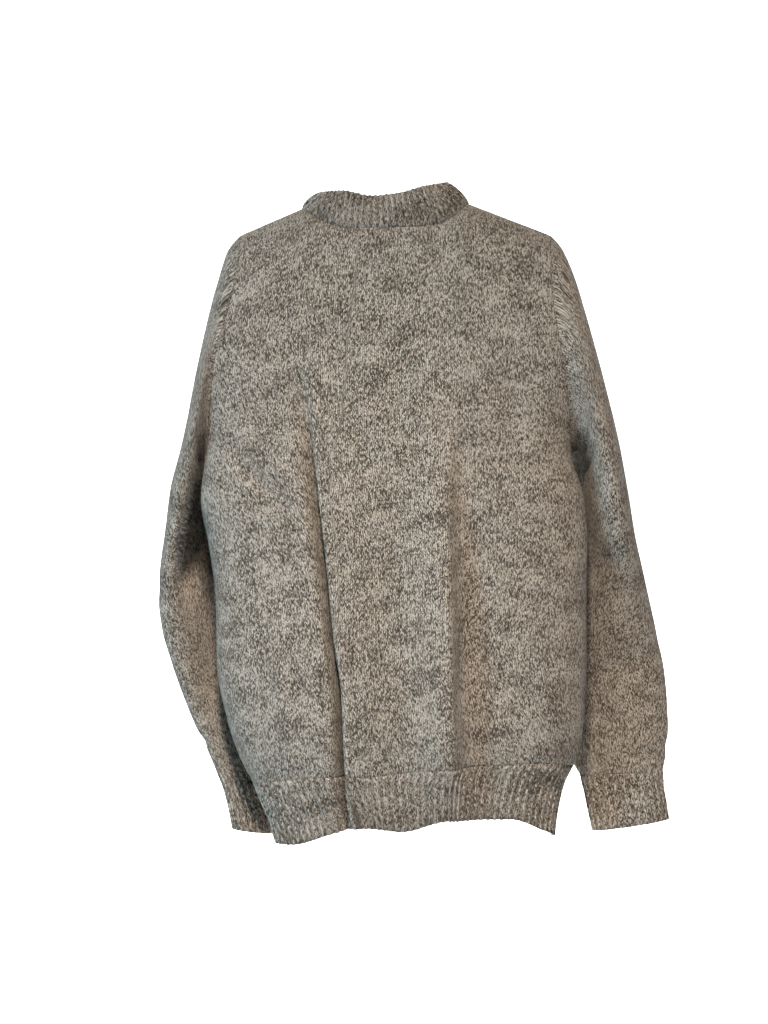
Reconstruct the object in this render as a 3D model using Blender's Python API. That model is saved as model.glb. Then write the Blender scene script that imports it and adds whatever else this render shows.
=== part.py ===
"""Crewneck sweater in a chunky knit, hanging and hollow.

Frame: metres, +Z up, +X to the right as the back is faced, and the back of the garment faces -Y.
The origin lies between the shoulders, at the height of the inner ends of the shoulder seams.
All tables below are in millimetres. Each is turned into metres by MM where it is read.

The torso is one smooth tube of sections. It is cut at the side seams, shoulder seams, armholes,
neck and hem seam, and each cut leaves a gap of SEAM_GAP between two knitted pieces.
"""
import bpy
import numpy as np

MM = 0.001
WALL = 2.6
SEAM_GAP = 0.3
RIB_RISE = 1.5
HEM_RIBS = 56
CUFF_RIBS = 26
NECK_RIBS = 64
# Share of the rib's rise that each row of a ribbed piece takes: little at a seam.
RIB_FADE_UP = np.array([1.0, 1.0, 0.3])
RIB_FADE_DOWN = np.array([0.3, 1.0, 1.0, 1.0])
RIB_FADE_NECK = np.array([0.0, 1.0, 1.0])
X_AXIS = np.array([1.0, 0.0, 0.0])
Y_AXIS = np.array([0.0, 1.0, 0.0])
LEVEL = np.array([1.0, 1.0, 0.0])

# Torso sections from the hem's lower edge up.
# Columns: height z, left edge x, right edge x, back depth, front depth, squareness of the section.
TORSO = np.array([
    (-668, -124, 165, 62, 60, 2.5),
    (-640, -133, 168, 68, 66, 2.5),
    (-603, -150, 176, 78, 76, 2.6),
    (-575, -164, 191, 87, 86, 2.8),
    (-540, -176, 197, 92, 92, 3.0),
    (-478, -188, 200, 93, 94, 3.0),
    (-416, -189, 200, 91, 92, 3.0),
    (-350, -197, 201, 88, 89, 3.0),
    (-306, -205, 198, 85, 86, 2.9),
    (-262, -201, 185, 80, 82, 2.8),
    (-216, -196, 182, 75, 77, 2.7),
    (-165, -191, 176, 69, 72, 2.7),
    (-93, -183, 166, 62, 65, 2.8),
    (-50, -175, 161, 60, 62, 3.0),
    (-24, -164, 163, 60, 62, 3.2),
], dtype=float)

# Hem edges across the torso. Columns: share of the way across, lower edge of the back, lower edge of
# the front, seam between hem and body.
HEM = np.array([
    (0.00, -665, -660, -603),
    (0.12, -664, -652, -598),
    (0.28, -648, -644, -590),
    (0.36, -644, -641, -590),
    (0.46, -648, -640, -586),
    (0.60, -636, -637, -581),
    (0.78, -636, -640, -577),
    (0.90, -650, -648, -580),
    (1.00, -659, -659, -585),
], dtype=float)

# Shoulder and neck line: x and z of the shoulder ends and neck points.
SHOULDER_LEFT = (-164.0, -24.0)
SHOULDER_RIGHT = (163.0, -24.0)
NECK_LEFT = (-99.0, 4.0)
NECK_RIGHT = (77.0, 9.0)
# Neck edge. Columns: share of the way across the neck, dip below the neck points at the back,
# dip at the front.
NECK_DIP = np.array([
    (0.00, 0, 0),
    (0.10, 14, 30),
    (0.22, 23, 55),
    (0.35, 26, 71),
    (0.50, 26, 77),
    (0.65, 26, 71),
    (0.78, 25, 55),
    (0.90, 16, 29),
    (1.00, 0, 0),
], dtype=float)
NECK_SQUARE = 2.4
NECK_BACK_REACH = 41.0
NECK_FRONT_REACH = 58.0

# Upper edge of the neckband. Columns: share of the way across, x, z at the back, z at the front.
BAND_TOP = np.array([
    (0.00, -80, 20, 20),
    (0.20, -56, 21, -15),
    (0.40, -26, 15, -37),
    (0.60, 2, 18, -38),
    (0.80, 30, 26, -15),
    (1.00, 54, 31, 31),
], dtype=float)
BAND_BACK_REACH = 36.0
BAND_FRONT_REACH = 49.0
BAND_BULGE = 3.0

ARMPIT = 0.59
ARMHOLE_DEPTH = 49.0
ARMHOLE_POINT = 0.8
CAP_START = 0.80
NECK_BLEND = 0.74

# Folds of the back. Each is a run of rows along its length.
# Columns: height z, x of the fold line, depth into the garment, width to the left, width to the right.
BACK_FOLDS = {
    "tuck beside the middle": [
        (-150, -100, 0, 24, 18),
        (-200, -93, 4, 22, 13),
        (-250, -86, 10, 20, 10),
        (-300, -81, 17, 19, 9),
        (-350, -76, 24, 18, 8),
        (-420, -69, 31, 16, 7.5),
        (-500, -61, 34, 16, 7.5),
        (-560, -58, 34, 16, 7.5),
        (-603, -57, 28, 17, 8.5),
        (-668, -54, 17, 17, 12),
    ],
    "rounded edge of the tuck": [
        (-190, -70, 0, 16, 44),
        (-250, -66, -4, 14, 44),
        (-300, -62, -7, 13, 43),
        (-350, -56, -9, 12, 42),
        (-420, -49, -12, 11, 42),
        (-500, -41, -13, 10, 40),
        (-560, -38, -13, 10, 38),
        (-668, -34, -6, 12, 36),
    ],
    "ridge right of the middle": [
        (-190, 50, 0, 26, 24),
        (-258, 48, -5, 28, 16),
        (-350, 50, -11, 28, 12),
        (-430, 53, -15, 29, 11),
        (-500, 56, -17, 29, 12),
        (-560, 58, -16, 28, 14),
        (-668, 61, -4, 25, 22),
    ],
    "trough right of the ridge": [
        (-240, 66, 0, 12, 24),
        (-350, 72, 6, 11, 28),
        (-430, 78, 9, 12, 28),
        (-500, 86, 11, 14, 26),
        (-560, 90, 12, 15, 26),
        (-620, 94, 4, 17, 24),
    ],
    "shallow trough between": [
        (-280, 2, 0, 22, 22),
        (-400, 4, 5, 22, 20),
        (-560, 8, 7, 20, 20),
        (-640, 8, 2, 20, 20),
    ],
    "pull from the left armpit": [
        (-330, -112, 0, 20, 20),
        (-290, -136, 6, 18, 18),
        (-262, -158, 5, 14, 16),
        (-235, -176, 0, 12, 14),
    ],
}

FRONT_FOLDS = {
    "left fall": [
        (-210, -70, 0, 30, 26),
        (-330, -78, 9, 28, 20),
        (-480, -70, 18, 26, 15),
        (-570, -62, 20, 24, 14),
        (-665, -55, 10, 22, 16),
    ],
    "middle ridge": [
        (-190, -16, 0, 30, 34),
        (-330, -22, -8, 26, 34),
        (-500, -20, -13, 22, 36),
        (-665, -16, -4, 22, 34),
    ],
    "right fall": [
        (-240, 84, 0, 28, 30),
        (-380, 76, 10, 20, 30),
        (-520, 80, 16, 17, 28),
        (-600, 84, 13, 17, 26),
        (-665, 86, 6, 20, 26),
    ],
    "pull from the left armpit, front": [
        (-345, -108, 0, 20, 20),
        (-300, -132, 7, 18, 18),
        (-262, -156, 7, 14, 16),
        (-232, -174, 0, 12, 14),
    ],
    "pull from the right armpit, front": [
        (-350, 112, 0, 20, 20),
        (-305, 134, 6, 18, 18),
        (-268, 154, 6, 16, 14),
        (-236, 168, 0, 14, 12),
    ],
}

# Sleeve rings from the armhole to the cuff seam, then down the cuff to its lower edge.
# Columns: over-arm x, y, z, under-arm x, y, z, half depth across them, lean of the front half inwards,
# and how far the depth is taken square to the line between the two (0 is along Y).
SLEEVE_RIGHT = np.array([
    (163, 0, -24, 185, 0, -254, 49, 0, 0),
    (174, 1, -36, 190, 0, -251, 51, 0, 0),
    (186, 2, -62, 195, 2, -251, 55, 3, 0),
    (199, 4, -102, 199, 5, -254, 59, 8, 0),
    (212, 6, -146, 201, 9, -260, 64, 14, 0),
    (224, 9, -192, 202, 15, -270, 69, 19, 0),
    (236, 12, -242, 203, 23, -284, 73, 22, 0),
    (245, 16, -292, 203, 34, -306, 74, 22, 0),
    (253, 20, -336, 202, 48, -336, 70, 18, 0),
    (262, 24, -374, 199, 64, -370, 62, 12, 0),
    (271, 27, -414, 194, 80, -408, 50, 6, 0.3),
    (278, 29, -450, 188, 90, -446, 41, 0, 0.6),
    (284, 30, -486, 184, 92, -484, 34, 0, 1),
    (288, 30, -520, 183, 88, -520, 30, 0, 1),
    (290, 30, -552, 185, 80, -554, 26, 0, 1),
    (288, 29, -576, 192, 72, -582, 23, 0, 1),
    (284, 28, -592, 201, 66, -599, 20, 0, 1),
], dtype=float)
CUFF_RIGHT = np.array([
    (284, 28, -592, 201, 66, -599, 20, 0, 1),
    (284, 28, -608, 206, 64, -616, 19, 0, 1),
    (287, 29, -626, 210, 62, -636, 20, 0, 1),
    (290, 30, -645, 215, 60, -659, 21, 0, 1),
], dtype=float)
SLEEVE_LEFT = np.array([
    (-164, 0, -24, -201, 0, -261, 49, 0, 0),
    (-176, 2, -38, -204, 1, -259, 51, 0, 0),
    (-188, 4, -74, -207, 3, -259, 54, 3, 0),
    (-199, 7, -118, -209, 7, -263, 57, 7, 0),
    (-209, 10, -162, -209, 14, -269, 60, 12, 0),
    (-218, 12, -208, -208, 24, -278, 63, 17, 0),
    (-228, 13, -250, -207, 39, -290, 64, 20, 0),
    (-238, 13, -290, -206, 56, -304, 63, 18, 0),
    (-243, 12, -330, -203, 74, -328, 58, 14, 0),
    (-248, 10, -368, -197, 88, -362, 50, 9, 0),
    (-251, 9, -405, -188, 95, -398, 41, 4, 0.2),
    (-248, 14, -440, -180, 104, -434, 33, 0, 0.3),
    (-239, 21, -475, -171, 109, -472, 28, 0, 0.4),
    (-227, 25, -510, -161, 111, -508, 25, 0, 0.5),
    (-212, 24, -545, -151, 106, -544, 22, 0, 0.7),
    (-198, 21, -570, -145, 99, -574, 20, 0, 0.9),
    (-189, 18, -588, -140, 92, -598, 18, 0, 1),
], dtype=float)
CUFF_LEFT = np.array([
    (-189, 18, -588, -140, 92, -598, 18, 0, 1),
    (-180, 17, -606, -136, 90, -613, 17, 0, 1),
    (-173, 16, -628, -131, 87, -636, 18, 0, 1),
    (-167, 15, -655, -126, 84, -662, 19, 0, 1),
], dtype=float)
SLEEVE_RINGS = 20
ARMHOLE_STEPS = 12
SIDE_ROWS = 12
FIT_RINGS = 4.0


def smooth_curve(rows, column, at):
    """A curve through one column of a table against its first column, without overshoot."""
    order = np.argsort(rows[:, 0])
    xs = rows[order, 0]
    ys = rows[order, column]
    step = np.diff(xs)
    slope = np.diff(ys) / step
    tangent = np.zeros_like(ys)
    left = slope[:-1]
    right = slope[1:]
    same_way = left * right > 0
    weight_left = 2 * step[1:] + step[:-1]
    weight_right = step[1:] + 2 * step[:-1]
    safe_left = np.where(same_way, left, 1.0)
    safe_right = np.where(same_way, right, 1.0)
    mean = (weight_left + weight_right) / (weight_left / safe_left + weight_right / safe_right)
    tangent[1:-1] = np.where(same_way, mean, 0.0)
    tangent[0] = slope[0]
    tangent[-1] = slope[-1]
    held = np.clip(at, xs[0], xs[-1])
    index = np.clip(np.searchsorted(xs, held) - 1, 0, len(xs) - 2)
    width = step[index]
    share = (held - xs[index]) / width
    rise = share * share * (3 - 2 * share)
    start_bend = share * (1 - share) ** 2 * width
    end_bend = -share * share * (1 - share) * width
    return ((1 - rise) * ys[index] + rise * ys[index + 1]
            + start_bend * tangent[index] + end_bend * tangent[index + 1])


def ease(share):
    held = np.clip(share, 0.0, 1.0)
    return held * held * (3 - 2 * held)


def unit(vectors):
    return vectors / np.linalg.norm(vectors, axis=-1, keepdims=True)


def fold_depth(folds, x, z):
    """How far the cloth lies inwards at x and z: each fold is a soft trough with two widths."""
    total = np.zeros_like(x)
    for rows in folds.values():
        table = np.array(rows, dtype=float)
        line = smooth_curve(table, 1, z)
        depth = smooth_curve(table, 2, z)
        left = smooth_curve(table, 3, z)
        right = smooth_curve(table, 4, z)
        across = x - line
        width = np.where(across < 0, left, right)
        total = total + depth * np.exp(-(across / width) ** 2)
    return total


def neck_share(across):
    """Share of the way across the neck, and nothing outside the two neck points."""
    width = SHOULDER_RIGHT[0] - SHOULDER_LEFT[0]
    x = SHOULDER_LEFT[0] + width * across
    return np.clip((x - NECK_LEFT[0]) / (NECK_RIGHT[0] - NECK_LEFT[0]), 0.0, 1.0)


def neck_reach(share, reach):
    return reach * np.sqrt(np.clip(1 - np.abs(2 * share - 1) ** NECK_SQUARE, 0.0, 1.0))


def top_line(across, side):
    """x and z of the upper edge of a body panel: shoulder, neck, shoulder."""
    width = SHOULDER_RIGHT[0] - SHOULDER_LEFT[0]
    x = SHOULDER_LEFT[0] + width * across
    straight = np.interp(x, [SHOULDER_LEFT[0], NECK_LEFT[0], NECK_RIGHT[0], SHOULDER_RIGHT[0]],
                         [SHOULDER_LEFT[1], NECK_LEFT[1], NECK_RIGHT[1], SHOULDER_RIGHT[1]])
    column = 1 if side == "back" else 2
    return x, straight - smooth_curve(NECK_DIP, column, neck_share(across))


def body_points(across, height, side):
    """Points of a body panel. height runs from 0 at the hem seam to 1 at the shoulder and neck."""
    depth_column = 3 if side == "back" else 4
    reach = NECK_BACK_REACH if side == "back" else NECK_FRONT_REACH
    folds = BACK_FOLDS if side == "back" else FRONT_FOLDS
    seam_z = smooth_curve(HEM, 3, across)
    top_x, top_z = top_line(across, side)
    points = np.zeros((len(height), len(across), 3))
    for row, level in enumerate(height):
        left_z = seam_z[0] + (top_z[0] - seam_z[0]) * level
        right_z = seam_z[-1] + (top_z[-1] - seam_z[-1]) * level
        middle_z = 0.5 * (left_z + right_z)
        cap = np.sqrt(np.clip(1 - ((level - CAP_START) / (1 - CAP_START)) ** 2, 0.0, 1.0))
        cap = 1.0 if level < CAP_START else cap
        depth = smooth_curve(TORSO, depth_column, middle_z)
        square = smooth_curve(TORSO, 5, middle_z)
        turn = np.clip((level - ARMPIT) / (1 - ARMPIT), 0.0, 1.0)
        low_part = (1 - (1 - min(2 * turn, 1.0)) ** 2) ** ARMHOLE_POINT
        high_part = np.sqrt(np.clip(1 - max(2 * turn - 1, 0.0) ** 2, 0.0, 1.0))
        edge_y = ARMHOLE_DEPTH * low_part * high_part
        edge_share = np.clip(edge_y / max(depth * cap, 1.0), 0.0, 0.9)
        left_x = smooth_curve(TORSO, 1, left_z)
        right_x = smooth_curve(TORSO, 2, right_z)
        start = np.arcsin(edge_share ** (square / 2))
        section = section_points(left_x, right_x, depth, square, start, across)
        shift = ease((level - NECK_BLEND) / (1 - NECK_BLEND))
        x = section[:, 0] * (1 - shift) + top_x * shift
        neck_y = neck_reach(neck_share(across), reach)
        inward = section[:, 1] * cap + neck_y * (1 - cap)
        z = seam_z + (top_z - seam_z) * level
        points[row, :, 0] = x
        points[row, :, 2] = z
        edge_fade = ease(np.minimum(section[:, 1] - section[0, 1], 30.0) / 30.0)
        points[row, :, 1] = inward - fold_depth(folds, x, z) * edge_fade * ease((1 - level) / 0.3)
    if side == "back":
        points[:, :, 1] *= -1
    return points


def section_points(left_x, right_x, depth, square, start, across):
    """Half of a squared ellipse from the left edge to the right, shared out by its length."""
    half = (right_x - left_x) / 2
    middle = (right_x + left_x) / 2
    angle = np.linspace(np.pi - start, start, 361)
    full_half = half / np.cos(start) ** (2 / square)
    x = middle + full_half * np.sign(np.cos(angle)) * np.abs(np.cos(angle)) ** (2 / square)
    y = depth * np.abs(np.sin(angle)) ** (2 / square)
    length = np.concatenate([[0.0], np.cumsum(np.hypot(np.diff(x), np.diff(y)))])
    share = length / length[-1]
    return np.stack([np.interp(across, share, x), np.interp(across, share, y)], axis=-1)


def hem_points(across, height, side):
    """Points of a hem band. height runs from 0 at its lower edge to 1 at the seam to the body."""
    depth_column = 3 if side == "back" else 4
    edge_column = 1 if side == "back" else 2
    folds = BACK_FOLDS if side == "back" else FRONT_FOLDS
    seam_z = smooth_curve(HEM, 3, across)
    low_z = smooth_curve(HEM, edge_column, across)
    low_z[0] = 0.5 * (HEM[0, 1] + HEM[0, 2])
    low_z[-1] = 0.5 * (HEM[-1, 1] + HEM[-1, 2])
    points = np.zeros((len(height), len(across), 3))
    for row, level in enumerate(height):
        z = low_z + (seam_z - low_z) * level
        middle_z = 0.5 * (z[0] + z[-1])
        left_x = smooth_curve(TORSO, 1, z[0])
        right_x = smooth_curve(TORSO, 2, z[-1])
        depth = smooth_curve(TORSO, depth_column, middle_z)
        square = smooth_curve(TORSO, 5, middle_z)
        section = section_points(left_x, right_x, depth, square, 0.0, across)
        edge_fade = ease(np.minimum(section[:, 1], 30.0) / 30.0)
        points[row, :, 0] = section[:, 0]
        points[row, :, 1] = section[:, 1] - fold_depth(folds, section[:, 0], z) * edge_fade
        points[row, :, 2] = z
    if side == "back":
        points[:, :, 1] *= -1
    return points


def grid_normals(points, closed, outward):
    """Unit normals of a grid of points, turned to the outside of the garment."""
    if closed:
        around = np.roll(points, -1, axis=1) - np.roll(points, 1, axis=1)
    else:
        around = np.gradient(points, axis=1)
    along = np.gradient(points, axis=0)
    normals = unit(np.cross(around, along))
    return normals * outward


def line_tangent(line):
    return unit(np.gradient(line, axis=0))


def closed_tangent(line):
    return unit(np.roll(line, -1, axis=0) - np.roll(line, 1, axis=0))


def neck_shares():
    """Shares across a body panel of its two neck points."""
    width = SHOULDER_RIGHT[0] - SHOULDER_LEFT[0]
    left_neck = (NECK_LEFT[0] - SHOULDER_LEFT[0]) / width
    right_neck = (NECK_RIGHT[0] - SHOULDER_LEFT[0]) / width
    return left_neck, right_neck


def panel_columns(side):
    """Shares across a body panel: close together at the tuck, with one column on each neck point."""
    left_neck, right_neck = neck_shares()
    if side == "back":
        stops = [(0.0, 0), (left_neck, 7), (0.27, 2), (0.43, 13), (right_neck, 11), (1.0, 9)]
    else:
        stops = [(0.0, 0), (left_neck, 6), (right_neck, 20), (1.0, 7)]
    shares = [0.0]
    for (begin, _), (end, count) in zip(stops[:-1], stops[1:]):
        even = np.linspace(0.0, 1.0, count + 1)[1:]
        if side == "front" and end == right_neck:
            even = 0.4 * even + 0.6 * (1 - np.cos(np.pi * even)) / 2
        shares.extend(begin + (end - begin) * even)
    return np.array(shares)


def panel_rows():
    lower = np.linspace(0.0, ARMPIT, SIDE_ROWS + 1)
    even = np.linspace(0.0, 1.0, ARMHOLE_STEPS + 1)[1:]
    turned = (1 - np.cos(np.pi * even)) / 2
    upper = ARMPIT + (1 - ARMPIT) * np.where(even < 0.5, 0.4 * even + 0.6 * turned, turned)
    return np.concatenate([lower, upper])


def make_panel(side):
    """Mid-wall points and wall directions of the back or front panel, before its seams are parted."""
    across = panel_columns(side)
    mid = body_points(across, panel_rows(), side)
    outward = 1.0 if side == "back" else -1.0
    normal = grid_normals(mid, False, outward)
    pit = SIDE_ROWS
    for column, turn in ((0, 1.0), (-1, -1.0)):
        run = line_tangent(mid[:pit + 1, column])
        normal[:pit + 1, column] = unit(np.cross(run, Y_AXIS)) * turn
    left_neck, right_neck = neck_shares()
    first = int(np.argmin(np.abs(across - left_neck)))
    last = int(np.argmin(np.abs(across - right_neck)))
    for begin, end in ((0, first), (last, len(across) - 1)):
        run = line_tangent(mid[-1, begin:end + 1])
        normal[-1, begin:end + 1] = unit(np.cross(run, Y_AXIS))
    normal[0] = unit(normal[0] * LEVEL)
    return {"mid": mid, "normal": normal, "across": across, "first": first, "last": last,
            "outward": outward}


def part_seams(panel):
    """Moves the side, shoulder and hem edges of a panel half a gap back from their seams."""
    mid = panel["mid"]
    shift = -panel["outward"] * SEAM_GAP / 2
    pit = SIDE_ROWS
    mid[:pit + 1, 0, 1] += shift
    mid[:pit + 1, -1, 1] += shift
    mid[-1, :panel["first"] + 1, 1] += shift
    mid[-1, panel["last"]:, 1] += shift
    mid[0, :, 2] += SEAM_GAP / 2


def join_ring(line, panel_normal, other_normal, plain):
    """One wall direction for both sides of a closed seam, and the way across it from the panels.

    plain lists the points where the seam meets a side or shoulder seam: the direction there stays
    square to Y, so that the two panels part cleanly.
    """
    normal = unit(unit(panel_normal) + unit(other_normal))
    for index in plain:
        normal[index, 1] = 0.0
    normal = unit(normal)
    away = unit(np.cross(normal, closed_tangent(line)))
    return normal, away


def ring_points(rings, angle):
    """Slanted ellipses between the over-arm and under-arm lines, with the back half first."""
    over = rings[:, None, 0:3]
    under = rings[:, None, 3:6]
    depth = rings[:, None, 6:7]
    lean = rings[:, None, 7:8] * -np.sign(rings[0, 0])
    axis = unit(over - under)
    square = rings[:, None, 8:9]
    across = unit(Y_AXIS - square * np.sum(axis * Y_AXIS, axis=-1, keepdims=True) * axis)
    share = (1 - np.cos(angle))[None, :, None] / 2
    sine = np.sin(angle)[None, :, None]
    inward = 2 * (1 - share) * np.clip(-sine, 0.0, 1.0) ** 1.5 * X_AXIS
    return under + (over - under) * share - across * depth * sine + lean * inward


def resample_rows(table, count):
    """More rings between those of a table, each column through a smooth curve."""
    place = np.arange(len(table), dtype=float)
    keyed = np.column_stack([place, table])
    at = np.linspace(0.0, place[-1], count)
    return np.column_stack([smooth_curve(keyed, column + 1, at) for column in range(table.shape[1])])


def make_sleeve(table, back, front, column):
    """A sleeve tube whose first ring follows the armhole and whose last ring is an ellipse."""
    pit = SIDE_ROWS
    top = pit + ARMHOLE_STEPS
    ring = np.concatenate([back["mid"][pit:, column], front["mid"][top - 1:pit:-1, column]])
    ring_normal = np.concatenate([back["normal"][pit:, column], front["normal"][top - 1:pit:-1, column]])
    angle = np.linspace(0.0, 2 * np.pi, 2 * ARMHOLE_STEPS + 1)[:-1]
    rows = resample_rows(table, SLEEVE_RINGS)
    rows[0, 0:3] = ring[ARMHOLE_STEPS]
    rows[0, 3:6] = ring[0]
    mid = ring_points(rows, angle)
    misfit = ring - mid[0]
    fade = ease(1 - np.arange(SLEEVE_RINGS) / FIT_RINGS)[:, None, None]
    mid = mid + misfit[None] * fade
    turn = 1.0 if table[0, 0] > 0 else -1.0
    normal = grid_normals(mid, True, -turn)
    shared, away = join_ring(ring, ring_normal, normal[0], (0, ARMHOLE_STEPS))
    away = -away * turn
    normal[0] = shared
    mid[0] = ring + away * SEAM_GAP / 2
    edge = ring - away * SEAM_GAP / 2
    back["mid"][pit:, column] = edge[:ARMHOLE_STEPS + 1]
    back["normal"][pit:, column] = shared[:ARMHOLE_STEPS + 1]
    front_order = np.concatenate([[0], np.arange(len(ring) - 1, ARMHOLE_STEPS - 1, -1)])
    front["mid"][pit:, column] = edge[front_order]
    front["normal"][pit:, column] = shared[front_order]
    end_axis = ring_axis(rows[-1], turn)
    flat = normal[-1] - np.sum(normal[-1] * end_axis, axis=-1, keepdims=True) * end_axis
    normal[-1] = unit(flat)
    mid[-1] -= end_axis * SEAM_GAP / 2
    return {"mid": mid, "normal": normal, "end_axis": end_axis}


def ring_axis(row, turn):
    """The way down a sleeve through the plane of one ring."""
    down = unit(np.cross(row[0:3] - row[3:6], Y_AXIS)) * turn
    return down if down[2] < 0 else -down


def ribs(count):
    """Rise of each of two columns a rib, over a plain wall."""
    return np.tile([RIB_RISE, 0.0], count)


def make_cuff(table, end_axis):
    count = 2 * CUFF_RIBS
    angle = np.linspace(0.0, 2 * np.pi, count + 1)[:-1]
    mid = ring_points(table, angle)
    mid[0] += end_axis * SEAM_GAP / 2
    turn = 1.0 if table[0, 0] > 0 else -1.0
    normal = grid_normals(mid, True, -turn)
    flat = normal[0] - np.sum(normal[0] * end_axis, axis=-1, keepdims=True) * end_axis
    normal[0] = unit(flat)
    return {"mid": mid, "normal": normal}


def make_hem(side, panel):
    """The ribbed band below a panel, made before the panel's own edge is moved off the seam."""
    line = panel["mid"][0]
    places = spread_columns(line, 2 * HEM_RIBS)[1]
    across = np.interp(places, line_length(line), panel["across"])
    mid = hem_points(across, np.array([0.0, 0.5, 1.0]), side)
    normal = grid_normals(mid, False, panel["outward"])
    for axis in range(3):
        mid[-1, :, axis] = np.interp(across, panel["across"], panel["mid"][0][:, axis])
        normal[-1, :, axis] = np.interp(across, panel["across"], panel["normal"][0][:, axis])
    normal[-1] = unit(normal[-1])
    for column, turn in ((0, 1.0), (-1, -1.0)):
        run = line_tangent(mid[:, column])
        normal[:, column] = unit(np.cross(run, Y_AXIS)) * turn
        normal[-1, column] = panel["normal"][0, column]
    shift = -panel["outward"] * SEAM_GAP / 2
    mid[:, 0, 1] += shift
    mid[:, -1, 1] += shift
    mid[-1, :, 2] -= SEAM_GAP / 2
    return {"mid": mid, "normal": normal}


def line_length(line):
    step = np.linalg.norm(np.diff(line, axis=0), axis=1)
    return np.concatenate([[0.0], np.cumsum(step)])


def spread_columns(line, count):
    """Places of count + 1 columns along a line that take in all its own points, about evenly spaced."""
    length = line_length(line)
    knots = np.round(length / length[-1] * count).astype(int)
    for index in range(1, len(knots)):
        knots[index] = max(knots[index], knots[index - 1] + 1)
    return knots, np.interp(np.arange(count + 1), knots, length)


def along_line(line, values, places):
    """Values at places along a line of points."""
    length = line_length(line)
    return np.column_stack([np.interp(places, length, values[:, axis]) for axis in range(3)])


def band_upper_edge(share):
    """The neckband's upper edge, back half and then front half, at the given shares across."""
    halves = []
    for reach, column, way in ((BAND_BACK_REACH, 2, -1.0), (BAND_FRONT_REACH, 3, 1.0)):
        halves.append(np.column_stack([
            smooth_curve(BAND_TOP, 1, share),
            way * neck_reach(share, reach),
            smooth_curve(BAND_TOP, column, share),
        ]))
    return halves


def make_neckband(back, front):
    """The ribbed neckband: from the neck edge up and in to its own upper edge."""
    first, last = back["first"], back["last"]
    front_first, front_last = front["first"], front["last"]
    lines = (back["mid"][-1, first:last + 1], front["mid"][-1, front_first:front_last + 1])
    directions = (back["normal"][-1, first:last + 1], front["normal"][-1, front_first:front_last + 1])
    even = np.linspace(0.0, 1.0, NECK_RIBS + 1)
    share = 0.5 * (1 - np.cos(np.pi * even)) / 2 + 0.5 * even
    tops = band_upper_edge(share)
    (back_knots, back_places), (front_knots, front_places) = [
        spread_columns(line, NECK_RIBS) for line in lines]
    places = (back_places, front_places)
    bases = [along_line(line, line, at) for line, at in zip(lines, places)]
    base = close_loop(*bases)
    top = close_loop(*tops)
    outward = unit(np.cross(closed_tangent(base), unit(top - base)))
    middle = 0.5 * (base + top) + outward * BAND_BULGE
    mid = np.stack([base, middle, top])
    normal = grid_normals(mid, True, 1.0)
    at_panel = (normal[0, :NECK_RIBS + 1][back_knots], normal[0, front_loop_order()][front_knots])
    panel_normal = close_loop(*directions)
    shared, away = join_ring(close_loop(*lines), panel_normal, close_loop(*at_panel),
                             (0, last - first))
    count = last - first
    front_order = np.concatenate([[0], np.arange(len(shared) - 1, count - 1, -1)])
    orders = (np.arange(count + 1), front_order)
    base_normal = close_loop(*[along_line(line, shared[order], at)
                               for line, order, at in zip(lines, orders, places)])
    base_away = close_loop(*[along_line(line, away[order], at)
                             for line, order, at in zip(lines, orders, places)])
    mid[0] = base + base_away * SEAM_GAP / 2
    normal[0] = base_normal
    back["normal"][-1, first:last + 1] = shared[orders[0]]
    front["normal"][-1, front_first:front_last + 1] = shared[orders[1]]
    back["mid"][-1, first:last + 1] -= away[orders[0]] * SEAM_GAP / 2
    front["mid"][-1, front_first:front_last + 1] -= away[orders[1]] * SEAM_GAP / 2
    return {"mid": mid, "normal": normal}


def front_loop_order():
    """Places of the front half of the neck loop, from the left neck point to the right."""
    return np.concatenate([[0], np.arange(2 * NECK_RIBS - 1, NECK_RIBS - 1, -1)])


def close_loop(back_half, front_half):
    return np.concatenate([back_half[:-1], front_half[:0:-1]])


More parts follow.
